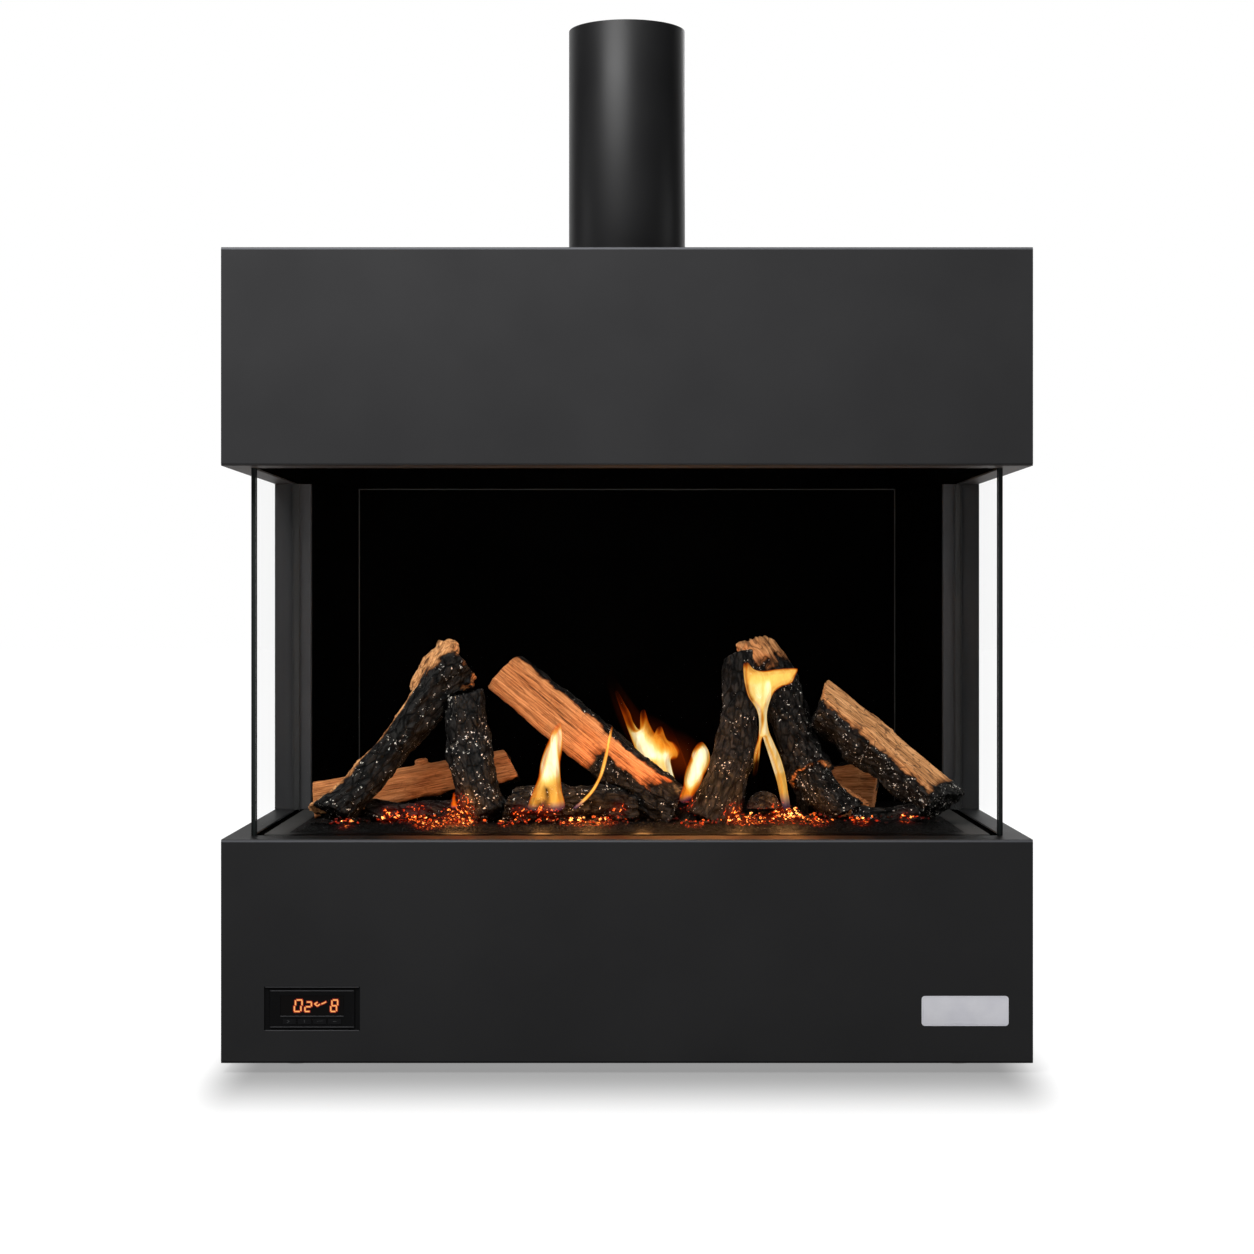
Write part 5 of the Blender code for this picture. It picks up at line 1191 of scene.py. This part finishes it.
def add_flame(outline, plane, thickness, hearts=(), hollows=(), soft=0.0018, base_heat=0.35, most_heat=1.0,
              density=0.46, foot_share=0.3, tip_share=0.15, skins=3, cell=0.0011, core_depth=0.0048):
    """A flame's nested skins from its outline seen from the front.

    Hearts are the lines that it burns hottest along, and hollows are the lines that it is clear along, each
    as both ends and a reach.
    """
    curve = smooth_outline(outline)
    low, high = curve.min(axis=0), curve.max(axis=0)
    size = high - low + 4 * cell
    layers = []
    for skin in range(skins):
        deselect()
        bpy.ops.mesh.primitive_grid_add(x_subdivisions=int(size[0] / cell),
                                        y_subdivisions=int(size[1] / cell), size=1.0)
        layer = bpy.context.object
        mesh = layer.data
        flat = np.empty(len(mesh.vertices) * 3)
        mesh.vertices.foreach_get("co", flat)
        flat = flat.reshape(-1, 3)
        xs = flat[:, 0] * size[0] + (low[0] + high[0]) / 2
        zs = flat[:, 1] * size[1] + (low[1] + high[1]) / 2
        depth = depth_inside(xs, zs, curve)
        deepest = depth.max()
        start = deepest * 0.3 * skin
        rise = (zs - low[1]) / (high[1] - low[1])
        warm = np.clip(near_lines(xs, zs, hearts), 0.0, 1.0)
        clear = np.clip(near_lines(xs, zs, hollows), 0.0, 1.0)
        core = smooth_step(depth / core_depth) * (base_heat + warm * (most_heat - base_heat))
        core *= 1.0 - 0.5 * smooth_step((rise - 1.0 + tip_share) / tip_share)
        cover = density * smooth_step((depth - start) / soft)
        cover *= 0.25 + 0.75 * smooth_step(rise / foot_share)
        cover *= 1.0 - 0.55 * smooth_step((rise - 1.0 + tip_share) / tip_share)
        cover *= 1.0 - clear
        sway = 0.35 * thickness * np.sin(rise * 5.0 + xs * 90.0)
        mesh.vertices.foreach_set("co", np.stack([xs, plane + sway, zs], axis=1).ravel())
        store(mesh, core=core, cover=cover, rise=rise)
        group = layer.vertex_groups.new(name="thick")
        beyond = np.clip((depth - start) / (deepest - start), 0.0, 1.0)
        weight = np.sqrt(beyond * (2 - beyond))
        for index in np.nonzero(depth > start - cell)[0]:
            group.add([int(index)], float(weight[index]), "REPLACE")
        mesh.edges.foreach_set("select", np.zeros(len(mesh.edges), bool))
        mesh.polygons.foreach_set("select", np.zeros(len(mesh.polygons), bool))
        mesh.vertices.foreach_set("select", depth < start - cell * 0.6)
        mode("EDIT")
        bpy.ops.mesh.delete(type="VERT")
        mode("OBJECT")
        modify(layer, "thick", "SOLIDIFY", thickness=thickness * (1.0 - 0.28 * skin), offset=0.0,
               vertex_group="thick")
        bpy.ops.object.shade_smooth()
        layers.append(layer)
    return join(layers)


flames = {
    "flame_left": dict(
        outline=[(-0.125, 0.302), (-0.121, 0.3138), (-0.1116, 0.3388), (-0.1054, 0.3668), (-0.0948, 0.3961),
                 (-0.085, 0.41), (-0.0815, 0.3924), (-0.0818, 0.3737), (-0.084, 0.3512), (-0.0825, 0.3263),
                 (-0.079, 0.303), (-0.1023, 0.299)],
        plane=-0.152, thickness=0.022, hearts=[((-0.089, 0.396), (-0.0965, 0.348), 0.014)],
        hollows=[((-0.1, 0.327), (-0.102, 0.3), 0.0075)], base_heat=0.56, density=0.56, foot_share=0.12),
    "flame_wisp": dict(
        outline=[(-0.0672, 0.3042), (-0.0573, 0.313), (-0.0448, 0.3266), (-0.0349, 0.3453), (-0.0286, 0.3677),
                 (-0.0243, 0.3889), (-0.0181, 0.4076), (-0.0205, 0.3864), (-0.0249, 0.364), (-0.0311, 0.3428),
                 (-0.0411, 0.3242), (-0.0535, 0.3105), (-0.0635, 0.3024)],
        plane=-0.154, thickness=0.008, soft=0.001, base_heat=0.62, density=0.6, foot_share=0.1,
                       core_depth=0.0009),
    "flame_ragged": dict(
        outline=[(-0.015, 0.448), (-0.0039, 0.429), (0.003, 0.418), (0.007, 0.406), (0.015, 0.399),
                 (0.02, 0.423), (0.0271, 0.405), (0.035, 0.392), (0.0425, 0.401), (0.05, 0.384),
                 (0.0605, 0.38), (0.0683, 0.3677), (0.0631, 0.3577), (0.0551, 0.3567), (0.0561, 0.3471),
                 (0.0603, 0.3329), (0.068, 0.3149), (0.058, 0.3155), (0.0341, 0.3381), (0.0173, 0.3613),
                 (0.007, 0.3857), (-0.0033, 0.4141)],
        plane=-0.05, thickness=0.026,
        hearts=[((0.012, 0.4), (0.03, 0.365), 0.0085), ((0.044, 0.36), (0.06, 0.325), 0.0075)],
        soft=0.0045, base_heat=0.38, density=0.55, foot_share=0.05, tip_share=0.45),
    "flame_small": dict(
        outline=[(-0.2205, 0.3035), (-0.2195, 0.313), (-0.2165, 0.324), (-0.2145, 0.313), (-0.2125, 0.3035)],
        plane=-0.14, thickness=0.005, soft=0.0012, base_heat=0.3, foot_share=0.1),
    "flame_haze": dict(
        outline=[(-0.025, 0.47), (0.01, 0.43), (0.05, 0.405), (0.09, 0.38), (0.1, 0.34),
                 (0.085, 0.32), (0.05, 0.33), (0.01, 0.37), (-0.015, 0.415)],
        plane=-0.03, thickness=0.03, soft=0.034, base_heat=0.0, density=0.035, foot_share=0.2, tip_share=0.3,
                       cell=0.0022),
    "flame_round": dict(
        outline=[(0.0926, 0.385), (0.0863, 0.3806), (0.0801, 0.3694), (0.0744, 0.3506), (0.0708, 0.3318),
                 (0.0672, 0.3148), (0.0738, 0.3093), (0.0811, 0.3143), (0.0886, 0.3268), (0.0963, 0.3443),
                 (0.102, 0.3593), (0.1007, 0.3741)],
        plane=-0.145, thickness=0.022, hearts=[((0.0905, 0.372), (0.084, 0.34), 0.0115)], base_heat=0.4,
                        foot_share=0.15),
    "flame_right": dict(
        outline=[(0.1469, 0.486), (0.1563, 0.4773), (0.1687, 0.4748), (0.1843, 0.4767), (0.1967, 0.4779),
                 (0.2117, 0.4779), (0.2079, 0.4661), (0.203, 0.4586), (0.1936, 0.4555), (0.1843, 0.448),
                 (0.1768, 0.4356), (0.1727, 0.42), (0.1749, 0.4014), (0.1812, 0.3858), (0.1893, 0.3671),
                 (0.1955, 0.3453), (0.1985, 0.3266), (0.2015, 0.3047), (0.1935, 0.306), (0.1874, 0.3366),
                 (0.1793, 0.3628), (0.1724, 0.3839), (0.169, 0.3926), (0.1662, 0.3814), (0.1637, 0.3652),
                 (0.1606, 0.3466), (0.1575, 0.344), (0.1592, 0.374), (0.1625, 0.3914), (0.1652, 0.4113),
                 (0.1634, 0.4238), (0.1588, 0.4325), (0.1519, 0.4412), (0.1482, 0.4512), (0.1457, 0.4673)],
        plane=-0.158, thickness=0.024,
        hearts=[((0.17, 0.456), (0.169, 0.4), 0.0065), ((0.174, 0.39), (0.188, 0.35), 0.004)],
        hollows=[((0.156, 0.456), (0.16, 0.442), 0.004), ((0.158, 0.343), (0.1592, 0.36), 0.007)],
        base_heat=0.7, most_heat=0.9, density=0.56, foot_share=0.1, tip_share=0.05, core_depth=0.0026),
}
for name, facts in flames.items():
    settle(add_flame(**facts), name, flame_gas, "casing")


# The fire's own light comes from its flames and embers. Small warm lamps inside them light the logs and the
# deck round them.
fire_colour = (1.0, 0.42, 0.12)
for index, (x, y, z, power) in enumerate((
    (-0.098, -0.172, 0.35, 0.65), (0.03, -0.06, 0.37, 1.4), (0.083, -0.15, 0.35, 1.5),
    (0.172, -0.185, 0.4, 0.45), (0.2, -0.16, 0.312, 0.3), (-0.212, -0.15, 0.312, 0.22),
    (-0.045, -0.178, 0.305, 0.22), (0.14, -0.175, 0.305, 0.15), (-0.105, -0.198, 0.292, 0.09),
    (0.02, -0.198, 0.292, 0.09),
)):
    add_light(f"fire_light_{index}", "POINT", (x, y, z), power, color=fire_colour, shadow_soft_size=0.012)
